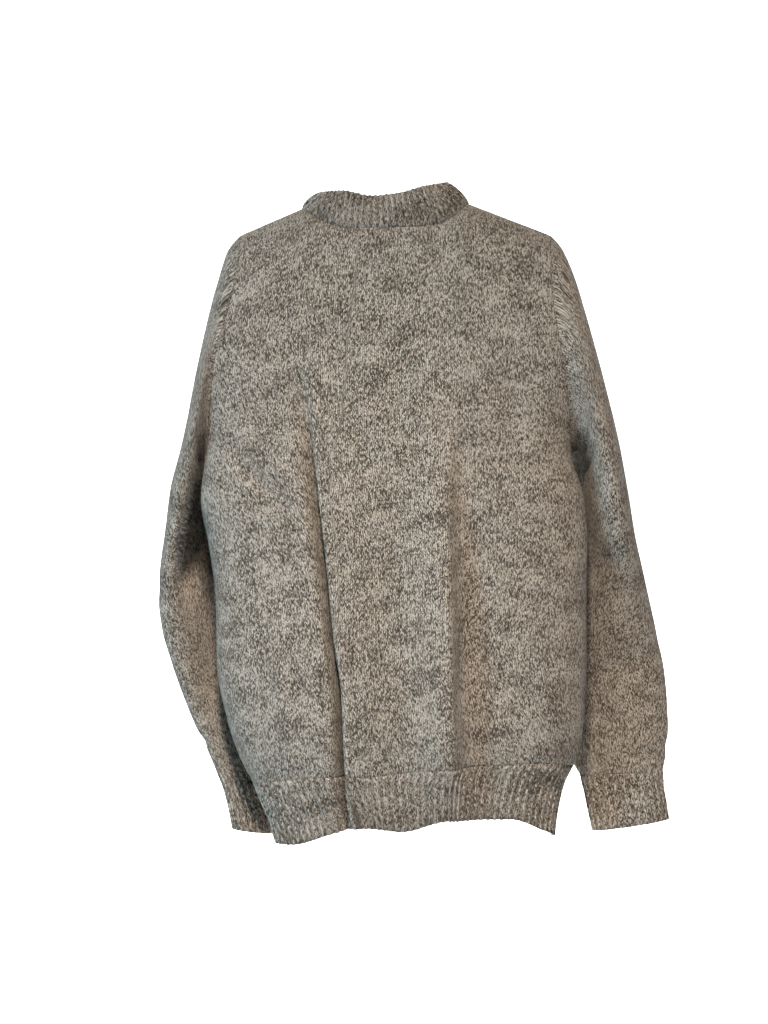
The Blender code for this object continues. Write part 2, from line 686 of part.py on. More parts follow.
def wall_mesh(piece, closed, rise=None, fade=None):
    """Vertices and triangles of a wall round a grid of mid-wall points.

    rise lifts the outer points of each column, and fade says how much of it each row takes.
    """
    mid = piece["mid"]
    normal = piece["normal"]
    rows, columns = mid.shape[:2]
    outer = mid + normal * WALL / 2
    if rise is not None:
        outer = outer + normal * rise[None, :, None] * fade[:, None, None]
    inner = mid - normal * WALL / 2
    vertices = np.concatenate([outer.reshape(-1, 3), inner.reshape(-1, 3)]) * MM
    count = rows * columns
    last = columns if closed else columns - 1
    faces = []

    def split(a, b, c, d):
        one = np.linalg.norm(vertices[a] - vertices[c])
        two = np.linalg.norm(vertices[b] - vertices[d])
        if one <= two:
            return [(a, b, c), (a, c, d)]
        return [(a, b, d), (b, c, d)]

    def split_edge(a, b, c, d, away):
        """Two triangles along the diagonal that lies further back in the piece."""
        lift = np.dot(vertices[a] + vertices[c] - vertices[b] - vertices[d], away)
        if lift <= 0:
            return [(a, b, c), (a, c, d)]
        return [(a, b, d), (b, c, d)]

    for row in range(rows - 1):
        for column in range(last):
            beside = (column + 1) % columns
            a = row * columns + column
            b = row * columns + beside
            c = (row + 1) * columns + beside
            d = (row + 1) * columns + column
            for face in split(a, b, c, d):
                faces.append(face)
                faces.append(tuple(index + count for index in reversed(face)))
    for row, beyond, turn in ((0, 1, 1), (rows - 1, rows - 2, -1)):
        for column in range(last):
            beside = (column + 1) % columns
            a = row * columns + column
            b = row * columns + beside
            away = mid[row, column] + mid[row, beside] - mid[beyond, column] - mid[beyond, beside]
            faces.extend(ordered(split_edge(b, a, a + count, b + count, away), turn))
    if not closed:
        for column, beyond, turn in ((0, 1, 1), (columns - 1, columns - 2, -1)):
            for row in range(rows - 1):
                a = row * columns + column
                d = (row + 1) * columns + column
                away = mid[row, column] - mid[row, beyond]
                faces.extend(ordered(split_edge(a, d, d + count, a + count, away), turn))
    return vertices, faces


def ordered(faces, turn):
    if turn > 0:
        return faces
    return [tuple(reversed(face)) for face in faces]


def signed_volume(vertices, faces):
    corners = vertices[np.array(faces)]
    return np.sum(np.cross(corners[:, 0], corners[:, 1]) * corners[:, 2]) / 6


def make_material(name, colour, roughness):
    material = bpy.data.materials.new(name)
    material.use_nodes = True
    shader = material.node_tree.nodes["Principled BSDF"]
    shader.inputs["Base Color"].default_value = (*colour, 1.0)
    shader.inputs["Roughness"].default_value = roughness
    material.diffuse_color = (*colour, 1.0)
    return material


def add_object(name, collection, wall, material):
    vertices, faces = wall
    if signed_volume(vertices, faces) < 0:
        faces = [tuple(reversed(face)) for face in faces]
    mesh = bpy.data.meshes.new(name)
    mesh.from_pydata(vertices.tolist(), [], faces)
    mesh.validate()
    mesh.materials.append(material)
    item = bpy.data.objects.new(name, mesh)
    collection.objects.link(item)
    return item


def build():
    for item in list(bpy.data.objects):
        bpy.data.objects.remove(item, do_unlink=True)
    collection = bpy.data.collections.new("crewneck_sweater")
    bpy.context.scene.collection.children.link(collection)
    back = make_panel("back")
    front = make_panel("front")
    hem_back = make_hem("back", back)
    hem_front = make_hem("front", front)
    right = make_sleeve(SLEEVE_RIGHT, back, front, -1)
    left = make_sleeve(SLEEVE_LEFT, back, front, 0)
    neckband = make_neckband(back, front)
    part_seams(back)
    part_seams(front)
    walls = {
        "back": wall_mesh(back, False),
        "front": wall_mesh(front, False),
        "sleeve_right": wall_mesh(right, True),
        "sleeve_left": wall_mesh(left, True),
        "cuff_right": wall_mesh(make_cuff(CUFF_RIGHT, right["end_axis"]), True, ribs(CUFF_RIBS),
                                RIB_FADE_DOWN),
        "cuff_left": wall_mesh(make_cuff(CUFF_LEFT, left["end_axis"]), True, ribs(CUFF_RIBS),
                               RIB_FADE_DOWN),
        "hem_back": wall_mesh(hem_back, False, np.append(ribs(HEM_RIBS), RIB_RISE), RIB_FADE_UP),
        "hem_front": wall_mesh(hem_front, False, np.append(ribs(HEM_RIBS), RIB_RISE), RIB_FADE_UP),
        "neckband": wall_mesh(neckband, True, ribs(NECK_RIBS), RIB_FADE_NECK),
    }
    plain = (0.235, 0.205, 0.175)
    ribbed = (0.225, 0.195, 0.165)
    for name, wall in walls.items():
        is_rib = name.split("_")[0] in ("hem", "cuff", "neckband")
        material = make_material(name + "_knit", ribbed if is_rib else plain, 0.92)
        add_object(name, collection, wall, material)


build()
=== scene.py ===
"""Looks of a crewneck sweater in a chunky marled knit, hanging and hollow.

Frame: metres, +Z up, +X to the right as the back is faced, and the back of the garment faces -Y.
The tables are in millimetres. Each is turned into metres by MM when a mesh is made.

Every knitted piece is a grid of points in the middle of its wall, with one wall direction at each
point. The wall's two faces lie half its thickness to either side. The grid also counts stitches:
its map's first coordinate runs in wales across the knit and its second in courses up it.
"""

import bpy
import numpy as np
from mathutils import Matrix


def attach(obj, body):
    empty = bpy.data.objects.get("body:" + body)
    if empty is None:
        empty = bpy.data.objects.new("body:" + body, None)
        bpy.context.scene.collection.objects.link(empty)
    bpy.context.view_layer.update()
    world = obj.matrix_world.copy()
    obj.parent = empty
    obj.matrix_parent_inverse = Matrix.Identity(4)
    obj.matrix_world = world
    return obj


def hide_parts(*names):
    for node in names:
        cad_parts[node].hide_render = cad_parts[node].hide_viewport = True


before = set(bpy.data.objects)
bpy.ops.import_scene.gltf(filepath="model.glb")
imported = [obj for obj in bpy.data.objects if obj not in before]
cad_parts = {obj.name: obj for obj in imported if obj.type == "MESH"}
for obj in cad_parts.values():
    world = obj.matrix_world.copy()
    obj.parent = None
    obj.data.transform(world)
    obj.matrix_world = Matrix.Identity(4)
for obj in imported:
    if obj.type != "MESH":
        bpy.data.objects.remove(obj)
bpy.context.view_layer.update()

MM = 0.001
# Thickness of the cloth, width of a wale and height of a course.
WALL = 2.6
WALE = 4.3
COURSE = 3.4
# Ribs: their rise, the depth of the troughs between them, the power of a sine that rounds both, the
# share of a band over which they fade, how many each band has, and the grid columns in each.
RIB_RISE = 1.5
TROUGH_DEPTH = 0.5
RIB_POWER = 0.6
RIB_FADE = 0.25
HEM_RIBS = 56
CUFF_RIBS = 26
NECK_RIBS = 64
RIB_STEPS = 8
# Groove along a sewn seam: its depth and its width to either side.
SEAM_SINK = 0.7
SEAM_WIDTH = 2.2
X_AXIS = np.array([1.0, 0.0, 0.0])
Y_AXIS = np.array([0.0, 1.0, 0.0])
LEVEL = np.array([1.0, 1.0, 0.0])

# Torso sections from the hem's lower edge up.
# Columns: height z, left edge x, right edge x, back depth, front depth, squareness of the section.
TORSO = np.array([
    (-668, -124, 165, 62, 60, 2.5),
    (-640, -133, 168, 68, 66, 2.5),
    (-603, -150, 176, 78, 76, 2.6),
    (-575, -164, 191, 87, 86, 2.8),
    (-540, -176, 197, 92, 92, 3.0),
    (-478, -188, 200, 93, 94, 3.0),
    (-416, -189, 200, 91, 92, 3.0),
    (-350, -197, 201, 88, 89, 3.0),
    (-306, -205, 198, 85, 86, 2.9),
    (-262, -201, 185, 80, 82, 2.8),
    (-216, -196, 182, 75, 77, 2.7),
    (-165, -191, 176, 69, 72, 2.7),
    (-93, -183, 166, 62, 65, 2.8),
    (-50, -175, 161, 60, 62, 3.0),
    (-24, -164, 163, 60, 62, 3.2),
], dtype=float)

# Hem edges across the torso. Columns: share of the way across, lower edge of the back, lower edge of
# the front, seam between hem and body.
HEM = np.array([
    (0.00, -665, -660, -603),
    (0.12, -664, -652, -598),
    (0.28, -648, -644, -590),
    (0.36, -644, -641, -590),
    (0.46, -648, -640, -586),
    (0.60, -636, -637, -581),
    (0.78, -636, -640, -577),
    (0.90, -650, -648, -580),
    (1.00, -659, -659, -585),
], dtype=float)

# Shoulder and neck line: x and z of the shoulder ends and neck points.
SHOULDER_LEFT = (-164.0, -24.0)
SHOULDER_RIGHT = (163.0, -24.0)
NECK_LEFT = (-99.0, 4.0)
NECK_RIGHT = (77.0, 9.0)
# Neck edge. Columns: share of the way across the neck, dip below the neck points at the back,
# dip at the front.
NECK_DIP = np.array([
    (0.00, 0, 0),
    (0.10, 14, 30),
    (0.22, 23, 55),
    (0.35, 26, 71),
    (0.50, 26, 77),
    (0.65, 26, 71),
    (0.78, 25, 55),
    (0.90, 16, 29),
    (1.00, 0, 0),
], dtype=float)
NECK_SQUARE = 2.4
NECK_BACK_REACH = 41.0
NECK_FRONT_REACH = 58.0

# Upper edge of the neckband. Columns: share of the way across, x, z at the back, z at the front.
BAND_TOP = np.array([
    (0.00, -80, 20, 20),
    (0.20, -56, 21, -15),
    (0.40, -26, 15, -37),
    (0.60, 2, 18, -38),
    (0.80, 30, 26, -15),
    (1.00, 54, 31, 31),
], dtype=float)
BAND_BACK_REACH = 36.0
BAND_FRONT_REACH = 49.0
BAND_BULGE = 3.0

# Shares of a panel's height: the armpit, where the section starts to flatten towards the shoulder, and
# where its width starts to follow the neck line.
ARMPIT = 0.59
CAP_START = 0.80
NECK_BLEND = 0.74
# Armhole: half its depth from back to front, the power that rounds its foot, and the most of the
# section's depth that its edge may take.
ARMHOLE_DEPTH = 49.0
ARMHOLE_POINT = 0.8
ARMHOLE_SHARE = 0.9
# Folds fade out towards a side edge within this depth, and towards the shoulder over this share.
EDGE_FADE = 30.0
TOP_FADE = 0.3

# Soft uneven waves: how many there are, the shortest and the longest, how much longer they are upwards,
# their depth on the body and on the sleeves, and the seed of each piece.
WAVE_COUNT = 7
WAVE_SIZES = (45, 130)
WAVE_LEAN = 0.6
BODY_WAVES = 1.6
SLEEVE_WAVES = 1.2
BACK_SEED = 3
FRONT_SEED = 8
RIGHT_SEED = 21
LEFT_SEED = 34

# Folds of the back. Each is a run of rows along its length.
# Columns: height z, x of the fold line, depth into the garment, width to the left, width to the right.
BACK_FOLDS = {
    "tuck beside the middle": [
        (-130, -102, 0, 22, 12),
        (-165, -98, 3, 18, 8),
        (-200, -92, 7, 15, 5),
        (-240, -85, 11, 13, 4),
        (-282, -80, 15, 12, 3.6),
        (-324, -75, 19, 11, 3.4),
        (-367, -69, 22, 10, 3.2),
        (-409, -64, 24, 9.5, 3.2),
        (-452, -60, 25, 9.5, 3.2),
        (-500, -53, 25, 9.5, 3.2),
        (-579, -50, 24, 9.5, 3.2),
        (-615, -48, 20, 10, 3.6),
        (-668, -46, 13, 12, 6),
    ],
    "rounded edge of the tuck": [
        (-150, -92, 0, 8, 44),
        (-200, -86, -2, 7, 44),
        (-240, -79, -4, 6, 44),
        (-282, -74, -5, 6, 42),
        (-324, -69, -7, 5.5, 40),
        (-367, -63, -8, 5, 38),
        (-452, -54, -9, 5, 36),
        (-500, -47, -9, 5, 36),
        (-579, -44, -9, 5, 34),
        (-668, -40, -4, 7, 32),
    ],
    "swell left of the tuck": [
        (-230, -110, 0, 34, 12),
        (-324, -94, -5, 36, 9),
        (-409, -83, -8, 36, 9),
        (-500, -72, -9, 36, 9),
        (-579, -69, -8, 34, 9),
        (-668, -64, -3, 30, 10),
    ],
    "ridge right of the middle": [
        (-190, 52, 0, 28, 20),
        (-258, 51, -6, 32, 10),
        (-350, 52, -14, 32, 6.5),
        (-430, 54, -19, 33, 6),
        (-500, 55, -21, 33, 6),
        (-560, 57, -19, 32, 8),
        (-668, 60, -5, 26, 18),
    ],
    "trough right of the ridge": [
        (-240, 66, 0, 12, 24),
        (-350, 69, 7, 9, 28),
        (-430, 71, 11, 9, 28),
        (-500, 75, 13, 11, 27),
        (-560, 82, 13, 14, 24),
        (-620, 92, 5, 16, 22),
    ],
    "valley between the two": [
        (-240, 0, 0, 26, 22),
        (-324, 2, 2, 26, 22),
        (-430, 6, 4, 26, 20),
        (-540, 10, 4, 26, 20),
        (-668, 12, 1, 24, 20),
    ],
    "pull from the left armpit": [
        (-330, -112, 0, 20, 20),
        (-290, -136, 6, 18, 18),
        (-262, -158, 5, 14, 16),
        (-235, -176, 0, 12, 14),
    ],
}

FRONT_FOLDS = {
    "left fall": [
        (-210, -70, 0, 30, 26),
        (-330, -78, 9, 28, 20),
        (-480, -70, 18, 26, 15),
        (-570, -62, 20, 24, 14),
        (-665, -55, 10, 22, 16),
    ],
    "middle ridge": [
        (-190, -16, 0, 30, 34),
        (-330, -22, -8, 26, 34),
        (-500, -20, -13, 22, 36),
        (-665, -16, -4, 22, 34),
    ],
    "right fall": [
        (-240, 84, 0, 28, 30),
        (-380, 76, 10, 20, 30),
        (-520, 80, 16, 17, 28),
        (-600, 84, 13, 17, 26),
        (-665, 86, 6, 20, 26),
    ],
    "pull from the left armpit, front": [
        (-345, -108, 0, 20, 20),
        (-300, -132, 7, 18, 18),
        (-262, -156, 7, 14, 16),
        (-232, -174, 0, 12, 14),
    ],
    "pull from the right armpit, front": [
        (-350, 112, 0, 20, 20),
        (-305, 134, 6, 18, 18),
        (-268, 154, 6, 16, 14),
        (-236, 168, 0, 14, 12),
    ],
}

# How far the rounded edge laps over the tuck. Columns: height z, x of the crease, lap to the left.
# LAP_START is where the lap is whole, right of the crease, and LAP_LENGTH how slowly it dies away.
TUCK_LAP = np.array([
    (-140, -101, 0),
    (-200, -92, 4),
    (-282, -80, 6),
    (-367, -69, 7),
    (-452, -60, 7.5),
    (-500, -53, 7.5),
    (-579, -50, 7),
    (-615, -48, 5.5),
    (-668, -46, 2),
], dtype=float)
LAP_START = 5.0
LAP_LENGTH = 16.0

# Softer creases that only the looks carry: same columns as the folds.
BACK_CREASES = {
    "soft hollow under the left shoulder": [
        (-250, -128, 0, 24, 20),
        (-170, -122, 2.5, 26, 22),
        (-110, -118, 0, 24, 20),
    ],
    "soft hollow under the right shoulder": [
        (-330, 112, 0, 20, 24),
        (-240, 118, 3, 20, 22),
        (-150, 122, 0, 18, 20),
    ],
    "slack above the hem, right": [
        (-600, 136, 0, 12, 14),
        (-545, 130, 4, 13, 16),
        (-480, 122, 3, 14, 18),
        (-400, 118, 0, 16, 20),
    ],
    "slack above the hem, left": [
        (-640, -100, 0, 10, 10),
        (-580, -108, -3, 12, 12),
        (-500, -116, -4, 14, 14),
        (-400, -122, 0, 16, 16),
    ],
    "small buckle over the hem": [
        (-610, 30, 0, 9, 9),
        (-570, 30, 3, 9, 9),
        (-520, 28, 2, 10, 10),
        (-470, 26, 0, 12, 12),
    ],
}

FRONT_CREASES = {
    "soft hollow beside the left armhole": [
        (-300, -130, 0, 20, 20),
        (-220, -126, 3, 22, 22),
        (-120, -120, 0, 20, 20),
    ],
    "soft hollow beside the right armhole": [
        (-310, 124, 0, 20, 20),
        (-230, 120, 3, 22, 22),
        (-130, 116, 0, 20, 20),
    ],
    "slack above the hem": [
        (-620, 24, 0, 12, 12),
        (-560, 26, 4, 14, 14),
        (-460, 24, 3, 16, 16),
        (-380, 22, 0, 18, 18),
    ],
}

# Sleeve rings from the armhole to the cuff seam, then down the cuff to its lower edge.
# Columns: over-arm x, y, z, under-arm x, y, z, half depth across them, lean of the front half inwards,
# and how far the depth is taken square to the line between the two (0 is along Y).
SLEEVE_RIGHT = np.array([
    (163, 0, -24, 185, 0, -254, 49, 0, 0),
    (174, 1, -36, 190, 0, -251, 51, 0, 0),
    (186, 2, -62, 195, 2, -251, 55, 3, 0),
    (199, 4, -102, 199, 5, -254, 59, 8, 0),
    (212, 6, -146, 201, 9, -260, 64, 14, 0),
    (224, 9, -192, 202, 15, -270, 69, 19, 0),
    (236, 12, -242, 203, 23, -284, 73, 22, 0),
    (245, 16, -292, 203, 34, -306, 74, 22, 0),
    (253, 20, -336, 202, 48, -336, 70, 18, 0),
    (262, 24, -374, 199, 64, -370, 62, 12, 0),
    (271, 27, -414, 194, 80, -408, 50, 6, 0.3),
    (278, 29, -450, 188, 90, -446, 41, 0, 0.6),
    (284, 30, -486, 184, 92, -484, 34, 0, 1),
    (288, 30, -520, 183, 88, -520, 30, 0, 1),
    (290, 30, -552, 185, 80, -554, 26, 0, 1),
    (288, 29, -576, 192, 72, -582, 23, 0, 1),
    (284, 28, -592, 201, 66, -599, 20, 0, 1),
], dtype=float)
CUFF_RIGHT = np.array([
    (284, 28, -592, 201, 66, -599, 20, 0, 1),
    (284, 28, -608, 206, 64, -616, 19, 0, 1),
    (287, 29, -626, 210, 62, -636, 20, 0, 1),
    (290, 30, -645, 215, 60, -659, 21, 0, 1),
], dtype=float)
SLEEVE_LEFT = np.array([
    (-164, 0, -24, -201, 0, -261, 49, 0, 0),
    (-176, 2, -38, -204, 1, -259, 51, 0, 0),
    (-188, 4, -74, -207, 3, -259, 54, 3, 0),
    (-199, 7, -118, -209, 7, -263, 57, 7, 0),
    (-209, 10, -162, -209, 14, -269, 60, 12, 0),
    (-218, 12, -208, -208, 24, -278, 63, 17, 0),
    (-228, 13, -250, -207, 39, -290, 64, 20, 0),
    (-238, 13, -290, -206, 56, -304, 63, 18, 0),
    (-243, 12, -330, -203, 74, -328, 58, 14, 0),
    (-248, 10, -368, -197, 88, -362, 50, 9, 0),
    (-251, 9, -405, -188, 95, -398, 41, 4, 0.2),
    (-248, 14, -440, -180, 104, -434, 33, 0, 0.3),
    (-239, 21, -475, -171, 109, -472, 28, 0, 0.4),
    (-227, 25, -510, -161, 111, -508, 25, 0, 0.5),
    (-212, 24, -545, -151, 106, -544, 22, 0, 0.7),
    (-198, 21, -570, -145, 99, -574, 20, 0, 0.9),
    (-189, 18, -588, -140, 92, -598, 18, 0, 1),
], dtype=float)
CUFF_LEFT = np.array([
    (-189, 18, -588, -140, 92, -598, 18, 0, 1),
    (-180, 17, -606, -136, 90, -613, 17, 0, 1),
    (-173, 16, -628, -131, 87, -636, 18, 0, 1),
    (-167, 15, -655, -126, 84, -662, 19, 0, 1),
], dtype=float)
# The front half of a ring leans inwards by a sine to this power.
LEAN_POWER = 1.5
# The cap follows the armhole over its first rings, counted in the steps of the plain solid.
SLEEVE_RINGS = 20
FIT_RINGS = 4.0
# Shares of a sleeve over which its creases fade in below the armhole and out above the cuff.
CREASE_START = 0.12
CREASE_END = 0.04

# Creases across a sleeve. Columns: place down the sleeve from 0 to 1, place round it in turns from the
# armpit by the back, depth, width down the sleeve, width round it, slant in share of the sleeve a turn.
SLEEVE_CREASES_RIGHT = np.array([
    (0.20, 0.06, 3.5, 0.030, 0.10, 0.20),
    (0.31, 0.12, 3.0, 0.026, 0.13, -0.15),
    (0.46, 0.90, 4.0, 0.028, 0.15, 0.25),
    (0.56, 0.85, 3.0, 0.024, 0.12, -0.20),
    (0.58, 0.30, 2.2, 0.030, 0.14, 0.22),
    (0.74, 0.35, 2.4, 0.026, 0.13, -0.18),
    (0.84, 0.22, 2.2, 0.020, 0.12, 0.12),
    (0.90, 0.60, 2.6, 0.020, 0.14, -0.10),
    (0.93, 0.36, 2.0, 0.016, 0.10, 0.08),
], dtype=float)
SLEEVE_CREASES_LEFT = np.array([
    (0.22, 0.08, 3.0, 0.030, 0.10, 0.18),
    (0.36, 0.90, 3.5, 0.028, 0.14, 0.22),
    (0.47, 0.86, 4.0, 0.026, 0.14, -0.18),
    (0.55, 0.20, 2.2, 0.030, 0.13, 0.20),
    (0.63, 0.42, 2.0, 0.024, 0.12, -0.16),
    (0.80, 0.30, 2.2, 0.022, 0.12, 0.14),
    (0.91, 0.58, 2.4, 0.018, 0.13, -0.10),
], dtype=float)

# The dark pocket of the left sleeve, below its armpit on the back. Columns: height z, x of its outer
# side, depth into the sleeve, width of the outer side's slope.
POCKET = np.array([
    (-278, -214, 0, 3),
    (-286, -217, 84, 3),
    (-322, -227, 94, 3),
    (-356, -234, 88, 4),
    (-388, -236, 52, 6),
    (-418, -232, 18, 10),
    (-470, -222, 0, 14),
], dtype=float)
# The most of the sleeve's own thickness that the pocket takes up, and how far the cloth has to turn to
# the back for the whole depth.
POCKET_SHARE = 0.8
POCKET_TURN = 0.25

# Fineness of the grids. The back's columns stand closest between the two shares beside its tuck.
SECTION_STEPS = 361
TUCK_FROM = 0.27
TUCK_TO = 0.43
END_CROWDING = 0.6
SIDE_ROWS = 120
ARMHOLE_STEPS = 56
SLEEVE_ROWS = 190
HEM_ROWS = 12
CUFF_ROWS = 14
NECK_ROWS = 12


def smooth_curve(rows, column, at):
    """A curve through one column of a table against its first, without overshoot.

    Between two rows it is the cubic with the given end slopes. A slope is the weighted harmonic mean
    of its two neighbours, or nothing where the column turns back.
    """
    order = np.argsort(rows[:, 0])
    xs = rows[order, 0]
    ys = rows[order, column]
    step = np.diff(xs)
    slope = np.diff(ys) / step
    left = slope[:-1]
    right = slope[1:]
    same_way = left * right > 0
    weight_left = 2 * step[1:] + step[:-1]
    weight_right = step[1:] + 2 * step[:-1]
    safe_left = np.where(same_way, left, 1.0)
    safe_right = np.where(same_way, right, 1.0)
    mean = (weight_left + weight_right) / (weight_left / safe_left + weight_right / safe_right)
    tangent = np.concatenate([slope[:1], np.where(same_way, mean, 0.0), slope[-1:]])
    held = np.clip(at, xs[0], xs[-1])
    index = np.clip(np.searchsorted(xs, held) - 1, 0, len(xs) - 2)
    width = step[index]
    share = (held - xs[index]) / width
    rise = share * share * (3 - 2 * share)
    start_bend = share * (1 - share) ** 2 * width
    end_bend = -share * share * (1 - share) * width
    return ((1 - rise) * ys[index] + rise * ys[index + 1]
            + start_bend * tangent[index] + end_bend * tangent[index + 1])


def ease(share):
    """Runs smoothly from 0 to 1: three squares less two cubes of the share."""
    held = np.clip(share, 0.0, 1.0)
    return held * held * (3 - 2 * held)


def crowd(even, part):
    """Even shares drawn towards both ends: they give way, by a part, to half a wave of a cosine."""
    return (1 - part) * even + part * (1 - np.cos(np.pi * even)) / 2


def unit(vectors):
    """Each vector over its own length."""
    return vectors / np.linalg.norm(vectors, axis=-1, keepdims=True)


def fold_depth(folds, x, z):
    """How far the cloth lies inwards: each fold is its depth times a bell with a width for each side."""
    total = np.zeros_like(x)
    for rows in folds.values():
        table = np.array(rows, dtype=float)
        across = x - smooth_curve(table, 1, z)
        width = np.where(across < 0, smooth_curve(table, 3, z), smooth_curve(table, 4, z))
        total = total + smooth_curve(table, 2, z) * np.exp(-(across / width) ** 2)
    return total


def lap_over(x, z):
    """x with the tuck's edge moved left over its crease.

    The move grows by an easing from the crease to LAP_START and dies away as a bell beyond it.
    """
    beyond = x - smooth_curve(TUCK_LAP, 1, z)
    past = np.clip(beyond - LAP_START, 0.0, None)
    share = ease(beyond / LAP_START) * np.exp(-(past / LAP_LENGTH) ** 2)
    return x - smooth_curve(TUCK_LAP, 2, z) * share


def slow_waves(a, b, seed):
    """Uneven, very soft waves: a mean of sines whose directions, phases and sizes come from one seed."""
    draw = np.random.default_rng(seed)
    total = np.zeros_like(a)
    for _ in range(WAVE_COUNT):
        turn = draw.uniform(0, np.pi)
        phase = draw.uniform(0, 2 * np.pi)
        size = draw.uniform(*WAVE_SIZES)
        along = a * np.cos(turn) + b * np.sin(turn) * WAVE_LEAN
        total = total + np.sin(along * 2 * np.pi / size + phase)
    return total / WAVE_COUNT


def neck_share(across):
    """Share of the way across the neck, and nothing outside the two neck points."""
    x = SHOULDER_LEFT[0] + (SHOULDER_RIGHT[0] - SHOULDER_LEFT[0]) * across
    return np.clip((x - NECK_LEFT[0]) / (NECK_RIGHT[0] - NECK_LEFT[0]), 0.0, 1.0)


def neck_reach(share, reach):
    """Half of a squared circle over the width of the neck."""
    return reach * np.sqrt(np.clip(1 - np.abs(2 * share - 1) ** NECK_SQUARE, 0.0, 1.0))


def top_line(across, side):
    """x and z of the upper edge of a body panel: shoulder, neck, shoulder."""
    x = SHOULDER_LEFT[0] + (SHOULDER_RIGHT[0] - SHOULDER_LEFT[0]) * across
    straight = np.interp(x, [SHOULDER_LEFT[0], NECK_LEFT[0], NECK_RIGHT[0], SHOULDER_RIGHT[0]],
                         [SHOULDER_LEFT[1], NECK_LEFT[1], NECK_RIGHT[1], SHOULDER_RIGHT[1]])
    return x, straight - smooth_curve(NECK_DIP, 1 if side == "back" else 2, neck_share(across))


def section_points(left_x, right_x, depth, square, start, across):
    """Half of a squared ellipse for each row, from the left edge to the right, shared out by length.

    x is the middle plus the half width times cosine to the power 2 / square, and y the depth times
    sine to the same power.
    """
    turn = np.linspace(0.0, 1.0, SECTION_STEPS)[None]
    angle = (np.pi - start[:, None]) * (1 - turn) + start[:, None] * turn
    power = 2 / square[:, None]
    half = (right_x - left_x)[:, None] / 2
    middle = (right_x + left_x)[:, None] / 2
    full_half = half / np.cos(start[:, None]) ** power
    x = middle + full_half * np.sign(np.cos(angle)) * np.abs(np.cos(angle)) ** power
    y = depth[:, None] * np.abs(np.sin(angle)) ** power
    steps = np.hypot(np.diff(x, axis=1), np.diff(y, axis=1))
    length = np.concatenate([np.zeros((len(x), 1)), np.cumsum(steps, axis=1)], axis=1)
    rows = 2.0 * np.arange(len(x))[:, None]
    places = (length / length[:, -1:] + rows).ravel()
    wanted = (across[None] + rows).ravel()
    shape = (len(x), len(across))
    even_x = np.interp(wanted, places, x.ravel()).reshape(shape)
    even_y = np.interp(wanted, places, y.ravel()).reshape(shape)
    return even_x, even_y


def fold_inward(side, x, z):
    """How far a panel's folds and softer creases lie inwards at each point."""
    if side == "back":
        return fold_depth(BACK_FOLDS, x, z) + fold_depth(BACK_CREASES, x, z)
    return fold_depth(FRONT_FOLDS, x, z) + fold_depth(FRONT_CREASES, x, z)


def body_points(across, height, side):
    """Points of a body panel. height runs from 0 at the hem seam to 1 at the shoulder and neck."""
    back = side == "back"
    level = height[:, None]
    seam_z = smooth_curve(HEM, 3, across)[None]
    top_x, top_z = top_line(across, side)
    left_z = seam_z[0, 0] + (top_z[0] - seam_z[0, 0]) * height
    right_z = seam_z[0, -1] + (top_z[-1] - seam_z[0, -1]) * height
    middle_z = 0.5 * (left_z + right_z)
    cap = np.sqrt(np.clip(1 - (np.clip(height - CAP_START, 0.0, None) / (1 - CAP_START)) ** 2, 0.0, 1.0))
    depth = smooth_curve(TORSO, 3 if back else 4, middle_z)
    square = smooth_curve(TORSO, 5, middle_z)
    turn = np.clip((height - ARMPIT) / (1 - ARMPIT), 0.0, 1.0)
    low_part = (1 - (1 - np.minimum(2 * turn, 1.0)) ** 2) ** ARMHOLE_POINT
    high_part = np.sqrt(np.clip(1 - np.maximum(2 * turn - 1, 0.0) ** 2, 0.0, 1.0))
    edge_y = ARMHOLE_DEPTH * low_part * high_part
    edge_share = np.clip(edge_y / np.maximum(depth * cap, 1.0), 0.0, ARMHOLE_SHARE)
    start = np.arcsin(edge_share ** (square / 2))
    section_x, section_y = section_points(smooth_curve(TORSO, 1, left_z), smooth_curve(TORSO, 2, right_z),
                                          depth, square, start, across)
    shift = ease((level - NECK_BLEND) / (1 - NECK_BLEND))
    x = section_x * (1 - shift) + top_x[None] * shift
    neck_y = neck_reach(neck_share(across), NECK_BACK_REACH if back else NECK_FRONT_REACH)[None]
    outward = section_y * cap[:, None] + neck_y * (1 - cap[:, None])
    z = seam_z + (top_z[None] - seam_z) * level
    edge_fade = ease((section_y - section_y[:, :1]) / EDGE_FADE)
    inward = fold_inward(side, x, z) + BODY_WAVES * slow_waves(x, z, BACK_SEED if back else FRONT_SEED)
    y = outward - inward * edge_fade * ease((1 - level) / TOP_FADE)
    return np.stack([lap_over(x, z) if back else x, -y if back else y, z], axis=-1)


def hem_points(across, height, side):
    """Points of a hem band. height runs from 0 at its lower edge to 1 at the seam to the body."""
    back = side == "back"
    seam_z = smooth_curve(HEM, 3, across)
    low_z = smooth_curve(HEM, 1 if back else 2, across)
    low_z[[0, -1]] = 0.5 * (HEM[[0, -1], 1] + HEM[[0, -1], 2])
    z = low_z[None] + (seam_z - low_z)[None] * height[:, None]
    middle_z = 0.5 * (z[:, 0] + z[:, -1])
    x, y = section_points(smooth_curve(TORSO, 1, z[:, 0]), smooth_curve(TORSO, 2, z[:, -1]),
                          smooth_curve(TORSO, 3 if back else 4, middle_z),
                          smooth_curve(TORSO, 5, middle_z), np.zeros(len(height)), across)
    y = y - fold_inward(side, x, z) * ease(y / EDGE_FADE)
    return np.stack([lap_over(x, z) if back else x, -y if back else y, z], axis=-1)


def grid_normals(points, closed, outward):
    """Unit normals of a grid: the cross product of the way around and the way along."""
    if closed:
        around = np.roll(points, -1, axis=1) - np.roll(points, 1, axis=1)
    else:
        around = np.gradient(points, axis=1)
    along = np.gradient(points, axis=0)
    return unit(np.cross(around, along)) * outward


